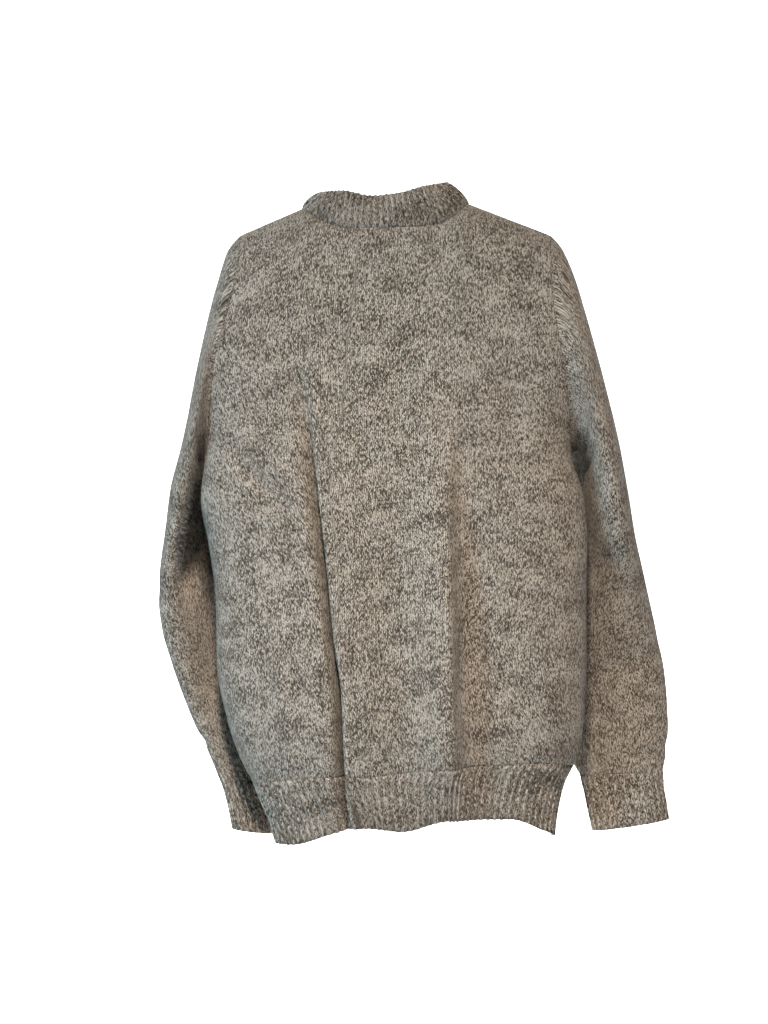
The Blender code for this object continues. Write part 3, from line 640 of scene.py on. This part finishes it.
def line_tangent(line):
    """Way along an open line at each of its points."""
    return unit(np.gradient(line, axis=0))


def closed_tangent(line):
    """Way along a closed line at each of its points."""
    return unit(np.roll(line, -1, axis=0) - np.roll(line, 1, axis=0))


def run_length(points, axis):
    """Length run along a grid's rows (axis 1) or up its columns (axis 0), from nothing at the start."""
    steps = np.linalg.norm(np.diff(points, axis=axis), axis=-1)
    start = np.zeros_like(np.take(steps, [0], axis=axis))
    return np.concatenate([start, np.cumsum(steps, axis=axis)], axis=axis)


def close_round(grid):
    """A ring's grid with its first column again at the end."""
    return np.concatenate([grid, grid[:, :1]], axis=1)


def rib_counts(grid, upward):
    """Stitch counts of a ribbed grid: two wales a rib, and courses by the distance along its columns."""
    wales = np.broadcast_to(np.arange(grid.shape[1]) / RIB_STEPS * 2, grid.shape[:2])
    return np.stack([wales, upward * run_length(grid, 0) / COURSE], axis=-1)


def panel_columns(side):
    """Shares across a body panel: close together at the tuck, with one column on each neck point.

    Each stop is a share of the width and the number of columns since the stop before it.
    """
    width = SHOULDER_RIGHT[0] - SHOULDER_LEFT[0]
    left_neck = (NECK_LEFT[0] - SHOULDER_LEFT[0]) / width
    right_neck = (NECK_RIGHT[0] - SHOULDER_LEFT[0]) / width
    if side == "back":
        stops = [(0.0, 0), (left_neck, 36), (TUCK_FROM, 12), (TUCK_TO, 70), (right_neck, 52), (1.0, 42)]
    else:
        stops = [(0.0, 0), (left_neck, 30), (right_neck, 90), (1.0, 36)]
    shares = [0.0]
    for (begin, _), (end, count) in zip(stops[:-1], stops[1:]):
        even = np.linspace(0.0, 1.0, count + 1)[1:]
        if side == "front" and end == right_neck:
            even = crowd(even, END_CROWDING)
        shares.extend(begin + (end - begin) * even)
    shares = np.array(shares)
    first = int(np.argmin(np.abs(shares - left_neck)))
    last = int(np.argmin(np.abs(shares - right_neck)))
    return shares, first, last


def panel_rows():
    """Shares up a body panel: even up to the armpit, then closer towards the shoulder."""
    lower = np.linspace(0.0, ARMPIT, SIDE_ROWS + 1)
    even = np.linspace(0.0, 1.0, ARMHOLE_STEPS + 1)[1:]
    upper = ARMPIT + (1 - ARMPIT) * crowd(even, np.where(even < 0.5, END_CROWDING, 1.0))
    return np.concatenate([lower, upper])


def make_panel(side):
    """Grid, wall directions, stitch counts and seam distances of the back or front panel."""
    across, first, last = panel_columns(side)
    mid = body_points(across, panel_rows(), side)
    outward = 1.0 if side == "back" else -1.0
    normal = grid_normals(mid, False, outward)
    for column, turn in ((0, 1.0), (-1, -1.0)):
        run = line_tangent(mid[:SIDE_ROWS + 1, column])
        normal[:SIDE_ROWS + 1, column] = unit(np.cross(run, Y_AXIS)) * turn
    for begin, end in ((0, first), (last, len(across) - 1)):
        run = line_tangent(mid[-1, begin:end + 1])
        normal[-1, begin:end + 1] = unit(np.cross(run, Y_AXIS))
    normal[0] = unit(normal[0] * LEVEL)
    rightward = run_length(mid, 1)
    middle = np.interp(0.5, across, np.arange(len(across)))
    centre = rightward[:, int(round(middle))][:, None]
    upward = run_length(mid, 0)
    counts = np.stack([(rightward - centre) / WALE, upward / COURSE], axis=-1)
    seam = np.minimum(rightward, rightward[:, -1:] - rightward)
    return {"mid": mid, "normal": normal, "across": across, "first": first, "last": last,
            "outward": outward, "counts": counts, "seam": seam}


def join_ring(panel_normal, other_normal, plain):
    """One wall direction for both sides of a closed seam; square to Y where side or shoulder seams meet."""
    normal = unit(unit(panel_normal) + unit(other_normal))
    for index in plain:
        normal[index, 1] = 0.0
    return unit(normal)


def ring_points(rings, angle):
    """Slanted ellipses between the over-arm and under-arm lines, with the back half first.

    A point is the under-arm one plus a share of the way over, less the half depth times a sine. The
    share is half of one less the cosine.
    """
    over = rings[:, None, 0:3]
    under = rings[:, None, 3:6]
    depth = rings[:, None, 6:7]
    lean = rings[:, None, 7:8] * -np.sign(rings[0, 0])
    axis = unit(over - under)
    square = rings[:, None, 8:9]
    across = unit(Y_AXIS - square * np.sum(axis * Y_AXIS, axis=-1, keepdims=True) * axis)
    share = (1 - np.cos(angle))[None, :, None] / 2
    sine = np.sin(angle)[None, :, None]
    inward = 2 * (1 - share) * np.clip(-sine, 0.0, 1.0) ** LEAN_POWER * X_AXIS
    return under + (over - under) * share - across * depth * sine + lean * inward


def resample_rows(table, count):
    """More rings between those of a table, each column through a smooth curve."""
    place = np.arange(len(table), dtype=float)
    keyed = np.column_stack([place, table])
    at = np.linspace(0.0, place[-1], count)
    return np.column_stack([smooth_curve(keyed, column + 1, at) for column in range(table.shape[1])])


def sleeve_creases(table, down, turn):
    """Depth of soft creases: each is a bell down the sleeve times a bell round it, on a slant."""
    total = np.zeros(np.broadcast(down, turn).shape)
    for place, side, depth, high, wide, slant in table:
        beside = (turn - side + 0.5) % 1.0 - 0.5
        along = down - place - slant * beside
        total = total + depth * np.exp(-(along / high) ** 2 - (beside / wide) ** 2)
    return total


def press_pocket(mid, normal):
    """The pocket pressed into the half of a sleeve that faces back.

    Its depth grows by an easing over the outer side's slope. It stays under a share of the way to the
    opposite point of the same ring.
    """
    side = smooth_curve(POCKET, 1, mid[..., 2])
    deep = smooth_curve(POCKET, 2, mid[..., 2])
    slope = smooth_curve(POCKET, 3, mid[..., 2])
    opposite = mid[:, -np.arange(mid.shape[1]), 1]
    room = np.maximum(opposite - mid[..., 1], 0.0) * POCKET_SHARE
    depth = np.minimum(deep * ease((mid[..., 0] - side) / slope), room)
    return mid + (depth * ease(-normal[..., 1] / POCKET_TURN))[..., None] * Y_AXIS


def make_sleeve(table, creases, back, front, column, seed):
    """A sleeve tube whose first ring follows the armhole and whose last ring is an ellipse."""
    pit = SIDE_ROWS
    top = pit + ARMHOLE_STEPS
    ring = np.concatenate([back["mid"][pit:, column], front["mid"][top - 1:pit:-1, column]])
    ring_normal = np.concatenate([back["normal"][pit:, column], front["normal"][top - 1:pit:-1, column]])
    angle = np.linspace(0.0, 2 * np.pi, 2 * ARMHOLE_STEPS + 1)[:-1]
    rows = resample_rows(table, SLEEVE_ROWS)
    rows[0, 0:3] = ring[ARMHOLE_STEPS]
    rows[0, 3:6] = ring[0]
    mid = ring_points(rows, angle)
    place = np.linspace(0.0, SLEEVE_RINGS - 1, SLEEVE_ROWS)
    fit = ease(1 - place / FIT_RINGS)[:, None, None]
    mid = mid + (ring - mid[0])[None] * fit
    turn = 1.0 if table[0, 0] > 0 else -1.0
    normal = grid_normals(mid, True, -turn)
    down = (place / place[-1])[:, None]
    around = (angle / (2 * np.pi))[None]
    waves = SLEEVE_WAVES * slow_waves(mid[..., 1], mid[..., 2], seed)
    fade = ease(down / CREASE_START) * ease((1 - down) / CREASE_END)
    inward = (sleeve_creases(creases, down, around) + waves) * fade
    mid = mid - normal * inward[..., None]
    counts, seam = tube_counts(mid)
    if turn < 0:
        mid = press_pocket(mid, normal)
    normal = grid_normals(mid, True, -turn)
    shared = join_ring(ring_normal, normal[0], (0, ARMHOLE_STEPS))
    normal[0] = shared
    back["normal"][pit:, column] = shared[:ARMHOLE_STEPS + 1]
    front_order = np.concatenate([[0], np.arange(len(ring) - 1, ARMHOLE_STEPS - 1, -1)])
    front["normal"][pit:, column] = shared[front_order]
    end_axis = ring_axis(rows[-1], turn)
    normal[-1] = unit(normal[-1] - np.sum(normal[-1] * end_axis, axis=-1, keepdims=True) * end_axis)
    return {"mid": mid, "normal": normal, "end_axis": end_axis, "counts": counts, "seam": seam}


def tube_counts(mid):
    """Stitch counts of a sleeve, and each point's distance from its under-arm seam.

    The wales are even round it from that seam. The courses go by the distance along the sleeve's middle
    line, each course square to it.
    """
    closed = close_round(mid)
    around = run_length(closed, 1)
    girth = around[:, -1:]
    wales = np.round(np.mean(girth) / WALE)
    share = around / girth
    centre = np.mean(mid, axis=1, keepdims=True)
    along = run_length(centre, 0)
    way = unit(np.gradient(centre, axis=0))
    courses = -along - np.sum((closed - centre) * way, axis=-1)
    return np.stack([share * wales, courses / COURSE], axis=-1), np.minimum(share, 1 - share) * girth


def ring_axis(row, turn):
    """The way down a sleeve through the plane of one ring."""
    down = unit(np.cross(row[0:3] - row[3:6], Y_AXIS)) * turn
    return down if down[2] < 0 else -down


def rib_profile(count, closed):
    """Rise of a row of ribs: a rounded ridge over half of each rib and a rounded trough over the rest."""
    columns = count * RIB_STEPS + (0 if closed else 1)
    wave = np.sin(2 * np.pi * (np.arange(columns) / RIB_STEPS % 1.0))
    ridge = np.clip(wave, 0.0, 1.0) ** RIB_POWER
    trough = np.clip(-wave, 0.0, 1.0) ** RIB_POWER
    return RIB_RISE * ridge - TROUGH_DEPTH * trough


def make_cuff(table, end_axis):
    """A ribbed ring below a sleeve, its upper edge square to the sleeve's end."""
    count = RIB_STEPS * CUFF_RIBS
    angle = np.linspace(0.0, 2 * np.pi, count + 1)[:-1]
    mid = ring_points(resample_rows(table, CUFF_ROWS), angle)
    turn = 1.0 if table[0, 0] > 0 else -1.0
    normal = grid_normals(mid, True, -turn)
    normal[0] = unit(normal[0] - np.sum(normal[0] * end_axis, axis=-1, keepdims=True) * end_axis)
    return {"mid": mid, "normal": normal, "counts": rib_counts(close_round(mid), -1.0), "seam": None}


def make_hem(side, panel):
    """The ribbed band below a panel: its upper edge lies on the panel's lower edge."""
    line = panel["mid"][0]
    length = run_length(line, 0)
    places = np.linspace(0.0, length[-1], HEM_RIBS * RIB_STEPS + 1)
    across = np.interp(places, length, panel["across"])
    height = np.linspace(0.0, 1.0, HEM_ROWS)
    mid = hem_points(across, height, side)
    normal = grid_normals(mid, False, panel["outward"])
    for axis in range(3):
        mid[-1, :, axis] = np.interp(across, panel["across"], panel["mid"][0][:, axis])
        normal[-1, :, axis] = np.interp(across, panel["across"], panel["normal"][0][:, axis])
    normal[-1] = unit(normal[-1])
    for column, turn in ((0, 1.0), (-1, -1.0)):
        run = line_tangent(mid[:, column])
        normal[:, column] = unit(np.cross(run, Y_AXIS)) * turn
        normal[-1, column] = panel["normal"][0, column]
    rightward = run_length(mid, 1)
    seam = np.minimum(rightward, rightward[:, -1:] - rightward)
    return {"mid": mid, "normal": normal, "counts": rib_counts(mid, 1.0), "seam": seam}


def along_line(line, values, places):
    """Values at places along a line of points."""
    length = run_length(line, 0)
    return np.column_stack([np.interp(places, length, values[:, axis]) for axis in range(3)])


def band_upper_edge(share):
    """The neckband's upper edge, back half and then front half, at the given shares across."""
    halves = []
    for reach, column, way in ((BAND_BACK_REACH, 2, -1.0), (BAND_FRONT_REACH, 3, 1.0)):
        halves.append(np.column_stack([
            smooth_curve(BAND_TOP, 1, share),
            way * neck_reach(share, reach),
            smooth_curve(BAND_TOP, column, share),
        ]))
    return halves


def close_loop(back_half, front_half):
    """One closed line: the back half from left to right, then the front half back again."""
    return np.concatenate([back_half[:-1], front_half[:0:-1]])


def make_neckband(back, front):
    """The ribbed neckband: from the neck edge up and in to its own upper edge, bulging a little."""
    half = NECK_RIBS // 2 * RIB_STEPS
    lines = [panel["mid"][-1, panel["first"]:panel["last"] + 1] for panel in (back, front)]
    directions = [panel["normal"][-1, panel["first"]:panel["last"] + 1] for panel in (back, front)]
    even = np.linspace(0.0, 1.0, half + 1)
    share = crowd(even, 0.5)
    places = [even * run_length(line, 0)[-1] for line in lines]
    base = close_loop(*[along_line(line, line, at) for line, at in zip(lines, places)])
    panel_normal = close_loop(*[along_line(line, way, at)
                                for line, way, at in zip(lines, directions, places)])
    top = close_loop(*band_upper_edge(share))
    outward = unit(np.cross(closed_tangent(base), unit(top - base)))
    height = np.linspace(0.0, 1.0, NECK_ROWS)[:, None, None]
    bulge = BAND_BULGE * 4 * height * (1 - height)
    mid = base[None] * (1 - height) + top[None] * height + outward[None] * bulge
    normal = grid_normals(mid, True, 1.0)
    normal[0] = join_ring(panel_normal, normal[0], (0, half))
    return {"mid": mid, "normal": normal, "counts": rib_counts(close_round(mid), 1.0), "seam": None}


def wall_quads(counts, rows, columns, closed):
    """Corners and map places of a wall's faces: outer face, inner face, first and last row, open sides.

    Points are numbered row by row, the outer ones first.
    """
    count = rows * columns
    row = np.arange(rows - 1)[:, None]
    column = np.arange(columns if closed else columns - 1)[None]
    beside = (column + 1) % columns
    corners = np.stack([row * columns + column, row * columns + beside,
                        (row + 1) * columns + beside, (row + 1) * columns + column], axis=-1)
    places = np.stack([
        np.broadcast_arrays(row, column), np.broadcast_arrays(row, column + 1),
        np.broadcast_arrays(row + 1, column + 1), np.broadcast_arrays(row + 1, column),
    ], axis=-1)
    maps = counts[places[0], places[1]].reshape(-1, 4, 2)
    faces = [corners.reshape(-1, 4), corners.reshape(-1, 4)[:, ::-1] + count]
    maps = [maps, maps[:, ::-1]]
    for edge, turn in ((0, 1), (rows - 1, -1)):
        a = edge * columns + column[0]
        b = edge * columns + beside[0]
        low = counts[edge, column[0]]
        high = counts[edge, column[0] + 1]
        faces.append(np.stack([b, a, a + count, b + count], axis=-1)[:, ::turn])
        maps.append(np.stack([high, low, low, high], axis=1)[:, ::turn])
    open_sides = () if closed else ((0, 1), (columns - 1, -1))
    for edge, turn in open_sides:
        a = row[:, 0] * columns + edge
        b = a + columns
        low = counts[row[:, 0], edge]
        high = counts[row[:, 0] + 1, edge]
        faces.append(np.stack([a, b, b + count, a + count], axis=-1)[:, ::turn])
        maps.append(np.stack([low, high, high, low], axis=1)[:, ::turn])
    return np.concatenate(faces), np.concatenate(maps)


def make_wall(name, piece, closed, material, rise, fade):
    """A closed wall round a grid, with a map of its stitch counts.

    The outer points are the middle ones plus the wall direction times half the wall and the ribs'
    rise, less a groove along each sewn seam.
    """
    mid = piece["mid"]
    normal = piece["normal"]
    rows, columns = mid.shape[:2]
    thick = np.full((rows, columns), WALL / 2)
    if piece["seam"] is not None:
        thick = thick - SEAM_SINK * np.exp(-(piece["seam"][:, :columns] / SEAM_WIDTH) ** 2)
    if rise is not None:
        thick = thick + rise[None] * fade[:, None]
    outer = mid + normal * thick[..., None]
    inner = mid - normal * WALL / 2
    vertices = np.concatenate([outer.reshape(-1, 3), inner.reshape(-1, 3)]) * MM
    faces, maps = wall_quads(piece["counts"], rows, columns, closed)
    if enclosed_volume(vertices, faces) < 0:
        faces = faces[:, ::-1]
        maps = maps[:, ::-1]
    mesh = bpy.data.meshes.new(name)
    mesh.vertices.add(len(vertices))
    mesh.vertices.foreach_set("co", vertices.ravel())
    mesh.loops.add(faces.size)
    mesh.loops.foreach_set("vertex_index", faces.ravel().astype(np.int32))
    mesh.polygons.add(len(faces))
    mesh.polygons.foreach_set("loop_start", np.arange(0, faces.size, 4, dtype=np.int32))
    mesh.polygons.foreach_set("use_smooth", np.ones(len(faces), dtype=bool))
    mesh.update(calc_edges=True)
    layer = mesh.uv_layers.new(name="stitches")
    layer.data.foreach_set("uv", maps.ravel())
    mesh.validate()
    mesh.materials.append(material)
    item = bpy.data.objects.new(name, mesh)
    bpy.context.scene.collection.objects.link(item)
    return item


def enclosed_volume(vertices, faces):
    """Volume inside a closed mesh of four-cornered faces, negative where they face inwards.

    It is a sixth of the sum, over the triangles, of the first corner's dot product with the cross
    product of the other two.
    """
    corners = vertices[faces]
    first = np.einsum("ij,ij->i", corners[:, 0], np.cross(corners[:, 1], corners[:, 2]))
    second = np.einsum("ij,ij->i", corners[:, 0], np.cross(corners[:, 2], corners[:, 3]))
    return float(np.sum(first + second)) / 6


class NodeMaker:
    """Adds the nodes of one material and links them, a value or a socket at a time."""

    def __init__(self, name):
        """Starts a new material with a plain shader."""
        self.material = bpy.data.materials.new(name)
        self.material.use_nodes = True
        self.tree = self.material.node_tree
        self.shader = self.tree.nodes["Principled BSDF"]

    def put(self, socket, value):
        """Links a socket to another, or sets it to a value."""
        if isinstance(value, bpy.types.NodeSocket):
            self.tree.links.new(value, socket)
        else:
            socket.default_value = value

    def math(self, operation, first, second=0.0, clamp=False):
        """One operation on one or two values."""
        node = self.tree.nodes.new("ShaderNodeMath")
        node.operation = operation
        node.use_clamp = clamp
        self.put(node.inputs[0], first)
        self.put(node.inputs[1], second)
        return node.outputs[0]

    def times(self, first, second):
        """The product of two values."""
        return self.math("MULTIPLY", first, second)

    def plus(self, first, second, clamp=False):
        """The sum of two values."""
        return self.math("ADD", first, second, clamp)

    def minus(self, first, second, clamp=False):
        """The first value less the second."""
        return self.math("SUBTRACT", first, second, clamp)

    def join(self, x, y, z):
        """A vector of three values."""
        node = self.tree.nodes.new("ShaderNodeCombineXYZ")
        for socket, value in zip(node.inputs, (x, y, z)):
            self.put(socket, value)
        return node.outputs[0]

    def noise(self, x, x_scale, y, y_scale, z, roughness=0.5):
        """Cloudy noise over two values times their scales, and a third as it is."""
        node = self.tree.nodes.new("ShaderNodeTexNoise")
        self.put(node.inputs["Vector"], self.join(self.times(x, x_scale), self.times(y, y_scale), z))
        node.inputs["Scale"].default_value = 1.0
        node.inputs["Detail"].default_value = 2.0
        node.inputs["Roughness"].default_value = roughness
        return node.outputs["Fac"]

    def ramp(self, value, stops):
        """A colour by value, easing from stop to stop."""
        node = self.tree.nodes.new("ShaderNodeValToRGB")
        node.color_ramp.interpolation = "EASE"
        self.put(node.inputs["Fac"], value)
        while len(node.color_ramp.elements) < len(stops):
            node.color_ramp.elements.new(0.5)
        for element, (place, colour) in zip(node.color_ramp.elements, stops):
            element.position = place
            element.color = (*colour, 1.0)
        return node.outputs["Color"]

    def shaded(self, colour, shade):
        """A colour times one value in all its channels."""
        node = self.tree.nodes.new("ShaderNodeMix")
        node.data_type = "RGBA"
        node.blend_type = "MULTIPLY"
        self.put(node.inputs["Factor"], 1.0)
        self.put(node.inputs["A"], colour)
        self.put(node.inputs["B"], self.join(shade, shade, shade))
        return node.outputs["Result"]


# Plies of the yarn, each with its place among the noise's values.
YARN = [
    (0.425, (0.042, 0.034, 0.026)),
    (0.485, (0.185, 0.158, 0.128)),
    (0.560, (0.560, 0.508, 0.445)),
]
# How much of the yarn's noise is long plies, short flecks and wide pools of light and dark.
PLY_PART = 0.60
FLECK_PART = 0.40
POOL_PART = 0.15
# Stitches: how many courses a leg slants over, how bluntly it ends, how far the wales wander and over how
# many stitches (as a scale), and how much less the courses wander.
LEG_SLANT = 0.85
LEG_END = 0.35
WANDER = 0.5
WANDER_SCALE = 0.35
COURSE_WANDER = 0.7
# Painted shade and light in the colour, darkest in the recesses between legs and in rib troughs: at a leg's
# edge, what its height adds, and the same for a rib's trough and its ridge.
EDGE_SHADE = 0.48
LEG_SHADE = 0.60
TROUGH_SHADE = 0.74
RIDGE_SHADE = 0.38
FIBRE_PART = 0.35
BUMP_HEIGHT = 0.0011


def stitch_map(maker):
    """The two coordinates of the stitches map: wales across and courses up."""
    mapping = maker.tree.nodes.new("ShaderNodeUVMap")
    mapping.uv_map = "stitches"
    split = maker.tree.nodes.new("ShaderNodeSeparateXYZ")
    maker.tree.links.new(mapping.outputs["UV"], split.inputs["Vector"])
    return split.outputs["X"], split.outputs["Y"]


def half_circle(maker, place):
    """The square root of one less the square of a place from -1 to 1."""
    return maker.math("SQRT", maker.minus(1.0, maker.times(place, place), clamp=True))


def knit_material(name, ribbed):
    """Marled wool in stocking stitch: each wale is a column of V stitches, two slanting legs to a stitch.

    A leg's height is a half circle across it times a blunter one along it. The courses are sheared by
    the distance from the wale's middle, which slants the legs. The yarn's light and dark plies are
    noise drawn out along the legs.
    """
    maker = NodeMaker(name)
    x, y = stitch_map(maker)
    wander = maker.noise(x, WANDER_SCALE, y, WANDER_SCALE, 0.0)
    uneven = maker.times(maker.minus(wander, 0.5), WANDER)
    wale = maker.plus(x, uneven)
    course = maker.plus(y, maker.times(uneven, COURSE_WANDER))
    outward = maker.times(maker.math("ABSOLUTE", maker.minus(maker.math("FRACT", wale), 0.5)), 2.0)
    sheared = maker.minus(course, maker.times(outward, LEG_SLANT))
    across = maker.minus(maker.times(outward, 2.0), 1.0)
    along = maker.minus(maker.times(maker.math("FRACT", sheared), 2.0), 1.0)
    blunt = maker.math("POWER", maker.minus(1.0, maker.times(along, along), clamp=True), LEG_END)
    height = maker.times(half_circle(maker, across), blunt)
    leg = maker.math("FLOOR", maker.times(wale, 2.0))
    ply = maker.noise(leg, 3.7, sheared, 1.0, maker.times(across, 0.6), 0.6)
    fleck = maker.noise(wale, 5.2, sheared, 2.1, 5.3, 0.6)
    pool = maker.noise(x, 0.13, y, 0.15, 9.1)
    mixed = maker.plus(maker.times(ply, PLY_PART), maker.times(fleck, FLECK_PART))
    mixed = maker.plus(mixed, maker.times(maker.minus(pool, 0.5), POOL_PART))
    # Painted shade: the yarn's colour is darkened towards each leg's edges, where the stitches shade one
    # another.
    shade = maker.plus(maker.times(height, LEG_SHADE), EDGE_SHADE)
    if ribbed:
        # Painted shade in each rib's trough and painted light on its ridge, in step with the ribs' rise.
        wave = maker.math("SINE", maker.times(x, np.pi))
        ridge = maker.plus(maker.times(wave, 0.5), 0.5, clamp=True)
        shade = maker.times(shade, maker.plus(maker.times(ridge, RIDGE_SHADE), TROUGH_SHADE))
    # The base colour carries the painted shade of the stitches and, on ribbed pieces, of the ribs.
    maker.put(maker.shader.inputs["Base Color"], maker.shaded(maker.ramp(mixed, YARN), shade))
    maker.shader.inputs["Roughness"].default_value = 0.95
    maker.shader.inputs["Specular IOR Level"].default_value = 0.2
    maker.shader.inputs["Sheen Weight"].default_value = 0.25
    maker.shader.inputs["Sheen Roughness"].default_value = 0.6
    maker.shader.inputs["Sheen Tint"].default_value = (0.86, 0.80, 0.72, 1.0)
    fibres = maker.noise(wale, 9.0, sheared, 5.0, 0.0)
    bump = maker.tree.nodes.new("ShaderNodeBump")
    bump.inputs["Strength"].default_value = 0.75
    bump.inputs["Distance"].default_value = BUMP_HEIGHT
    maker.put(bump.inputs["Height"], maker.plus(height, maker.times(fibres, FIBRE_PART)))
    maker.put(maker.shader.inputs["Normal"], bump.outputs["Normal"])
    return maker.material


def hang_lamp(name, data, place, aim):
    """Puts a light at a place and turns it towards a point."""
    way = np.array(aim) - np.array(place)
    lamp = bpy.data.objects.new(name, data)
    bpy.context.scene.collection.objects.link(lamp)
    lamp.location = place
    level = np.hypot(way[0], way[1])
    lamp.rotation_euler = (np.pi / 2 + np.arctan2(way[2], level), 0.0, np.arctan2(-way[0], way[1]))


def add_light(name, size, place, aim, power, colour):
    """A soft rectangular light."""
    data = bpy.data.lights.new(name, "AREA")
    data.shape = "RECTANGLE"
    data.size, data.size_y = size
    data.energy = power
    data.color = colour
    hang_lamp(name, data, place, aim)


def add_spot(name, place, aim, power, colour, angle, blend):
    """A soft spot: its cone's full angle in degrees, and the share of the cone in which it fades."""
    data = bpy.data.lights.new(name, "SPOT")
    data.energy = power
    data.color = colour
    data.shadow_soft_size = 0.22
    data.spot_size = np.radians(angle)
    data.spot_blend = blend
    hang_lamp(name, data, place, aim)


# Height of the floor, in metres.
FLOOR = -0.93


def make_backdrop():
    """A floor that sweeps up into a wall far behind: a quarter circle carried sideways."""
    wall = 4.2
    bend = 1.2
    reach = 6.0
    top = 3.5
    turn = np.linspace(0.0, np.pi / 2, 24)
    y = np.concatenate([[-reach], wall - bend + bend * np.sin(turn), [wall]])
    z = np.concatenate([[FLOOR], FLOOR + bend * (1 - np.cos(turn)), [top]])
    x = np.array([-reach, reach])
    points = np.stack(np.broadcast_arrays(x[None], y[:, None], z[:, None]), axis=-1).reshape(-1, 3)
    start = 2 * np.arange(len(y) - 1)
    faces = np.stack([start, start + 1, start + 3, start + 2], axis=-1)
    mesh = bpy.data.meshes.new("backdrop")
    mesh.from_pydata(points.tolist(), [], faces.tolist())
    mesh.polygons.foreach_set("use_smooth", np.ones(len(faces), dtype=bool))
    material = bpy.data.materials.new("pale paper")
    material.use_nodes = True
    shader = material.node_tree.nodes["Principled BSDF"]
    shader.inputs["Base Color"].default_value = (0.93, 0.93, 0.93, 1.0)
    shader.inputs["Roughness"].default_value = 0.9
    mesh.materials.append(material)
    item = bpy.data.objects.new("backdrop", mesh)
    bpy.context.scene.collection.objects.link(item)


def add_camera():
    """Level with the middle of the picture and square to the back."""
    distance = 3.0
    picture_rows = 1024
    mm_in_a_row = 1.06
    data = bpy.data.cameras.new("camera")
    data.sensor_fit = "VERTICAL"
    data.sensor_height = 36.0
    data.lens = data.sensor_height * distance / (picture_rows * mm_in_a_row * MM)
    camera = bpy.data.objects.new("camera", data)
    bpy.context.scene.collection.objects.link(camera)
    camera.location = (-0.0127, -distance, -0.3159)
    camera.rotation_euler = (np.pi / 2, 0.0, 0.0)
    bpy.context.scene.camera = camera


def add_lights():
    """A cool window on the left, a warm spot above the camera, spots for the backdrop, a fill behind."""
    middle = (0.0, 0.0, -0.32)
    white = (1.0, 0.98, 0.95)
    add_light("window left", (0.9, 1.6), (-2.5, -1.9, -0.5), middle, 60.0, (0.43, 0.78, 1.0))
    add_spot("warm key", (-0.1, -2.4, 2.0), (0.0, 0.0, -0.92), 600.0, (1.0, 0.835, 0.69), 32.0, 1.0)
    for side in (-1.0, 1.0):
        add_spot("wall wash", (2.6 * side, 2.0, 0.5), (-0.1 * side, 4.2, -0.1), 620.0, white, 76.0, 0.4)
    add_spot("floor wash", (0.0, 2.3, 3.0), (0.0, 2.3, FLOOR), 1300.0, white, 56.0, 0.05)
    add_light("fill for the far side", (1.0, 1.0), (0.7, 3.5, 2.3), middle, 70.0, white)
    world = bpy.data.worlds.new("studio")
    world.use_nodes = True
    sky = world.node_tree.nodes["Background"]
    sky.inputs["Color"].default_value = (0.58, 0.81, 1.0, 1.0)
    sky.inputs["Strength"].default_value = 0.14
    bpy.context.scene.world = world


def fade_rows(count, first, last):
    """Share of the ribs' rise in each row of a band.

    It eases from the first share to all of the rise, and from there to the last share.
    """
    height = np.linspace(0.0, 1.0, count)
    start = first + (1 - first) * ease(height / RIB_FADE)
    end = last + (1 - last) * ease((1 - height) / RIB_FADE)
    return start * end


def dress():
    """Builds the nine knitted pieces, each in place of its node."""
    back = make_panel("back")
    front = make_panel("front")
    hem_back = make_hem("back", back)
    hem_front = make_hem("front", front)
    right = make_sleeve(SLEEVE_RIGHT, SLEEVE_CREASES_RIGHT, back, front, -1, RIGHT_SEED)
    left = make_sleeve(SLEEVE_LEFT, SLEEVE_CREASES_LEFT, back, front, 0, LEFT_SEED)
    cuff_right = make_cuff(CUFF_RIGHT, right["end_axis"])
    cuff_left = make_cuff(CUFF_LEFT, left["end_axis"])
    neckband = make_neckband(back, front)
    body_knit = knit_material("marled stocking stitch", False)
    rib_knit = knit_material("marled rib", True)
    hem_rise = rib_profile(HEM_RIBS, False)
    cuff_rise = rib_profile(CUFF_RIBS, True)
    neck_rise = rib_profile(NECK_RIBS, True)
    up = fade_rows(HEM_ROWS, 1.0, 0.3)
    down = fade_rows(CUFF_ROWS, 0.3, 1.0)
    band = fade_rows(NECK_ROWS, 0.2, 1.0)
    # Columns: node, grid, whether it closes round, material, rise, fade, cut width and length, cut area.
    pieces = [
        ("back", back, False, body_knit, None, None, (0.50, 0.62), 0.282),
        ("front", front, False, body_knit, None, None, (0.48, 0.62), 0.258),
        ("sleeve_right", right, True, body_knit, None, None, (0.35, 0.60), 0.152),
        ("sleeve_left", left, True, body_knit, None, None, (0.35, 0.60), 0.152),
        ("hem_back", hem_back, False, rib_knit, hem_rise, up, (0.40, 0.075), None),
        ("hem_front", hem_front, False, rib_knit, hem_rise, up, (0.40, 0.075), None),
        ("cuff_right", cuff_right, True, rib_knit, cuff_rise, down, (0.22, 0.060), None),
        ("cuff_left", cuff_left, True, rib_knit, cuff_rise, down, (0.22, 0.067), None),
        ("neckband", neckband, True, rib_knit, neck_rise, band, (0.49, 0.037), None),
    ]
    for node, piece, closed, material, rise, fade, flat, area in pieces:
        item = make_wall("knit_" + node, piece, closed, material, rise, fade)
        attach(item, "root")
        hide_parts(node)


dress()
make_backdrop()
add_camera()
add_lights()
bpy.context.scene.view_settings.view_transform = "Standard"
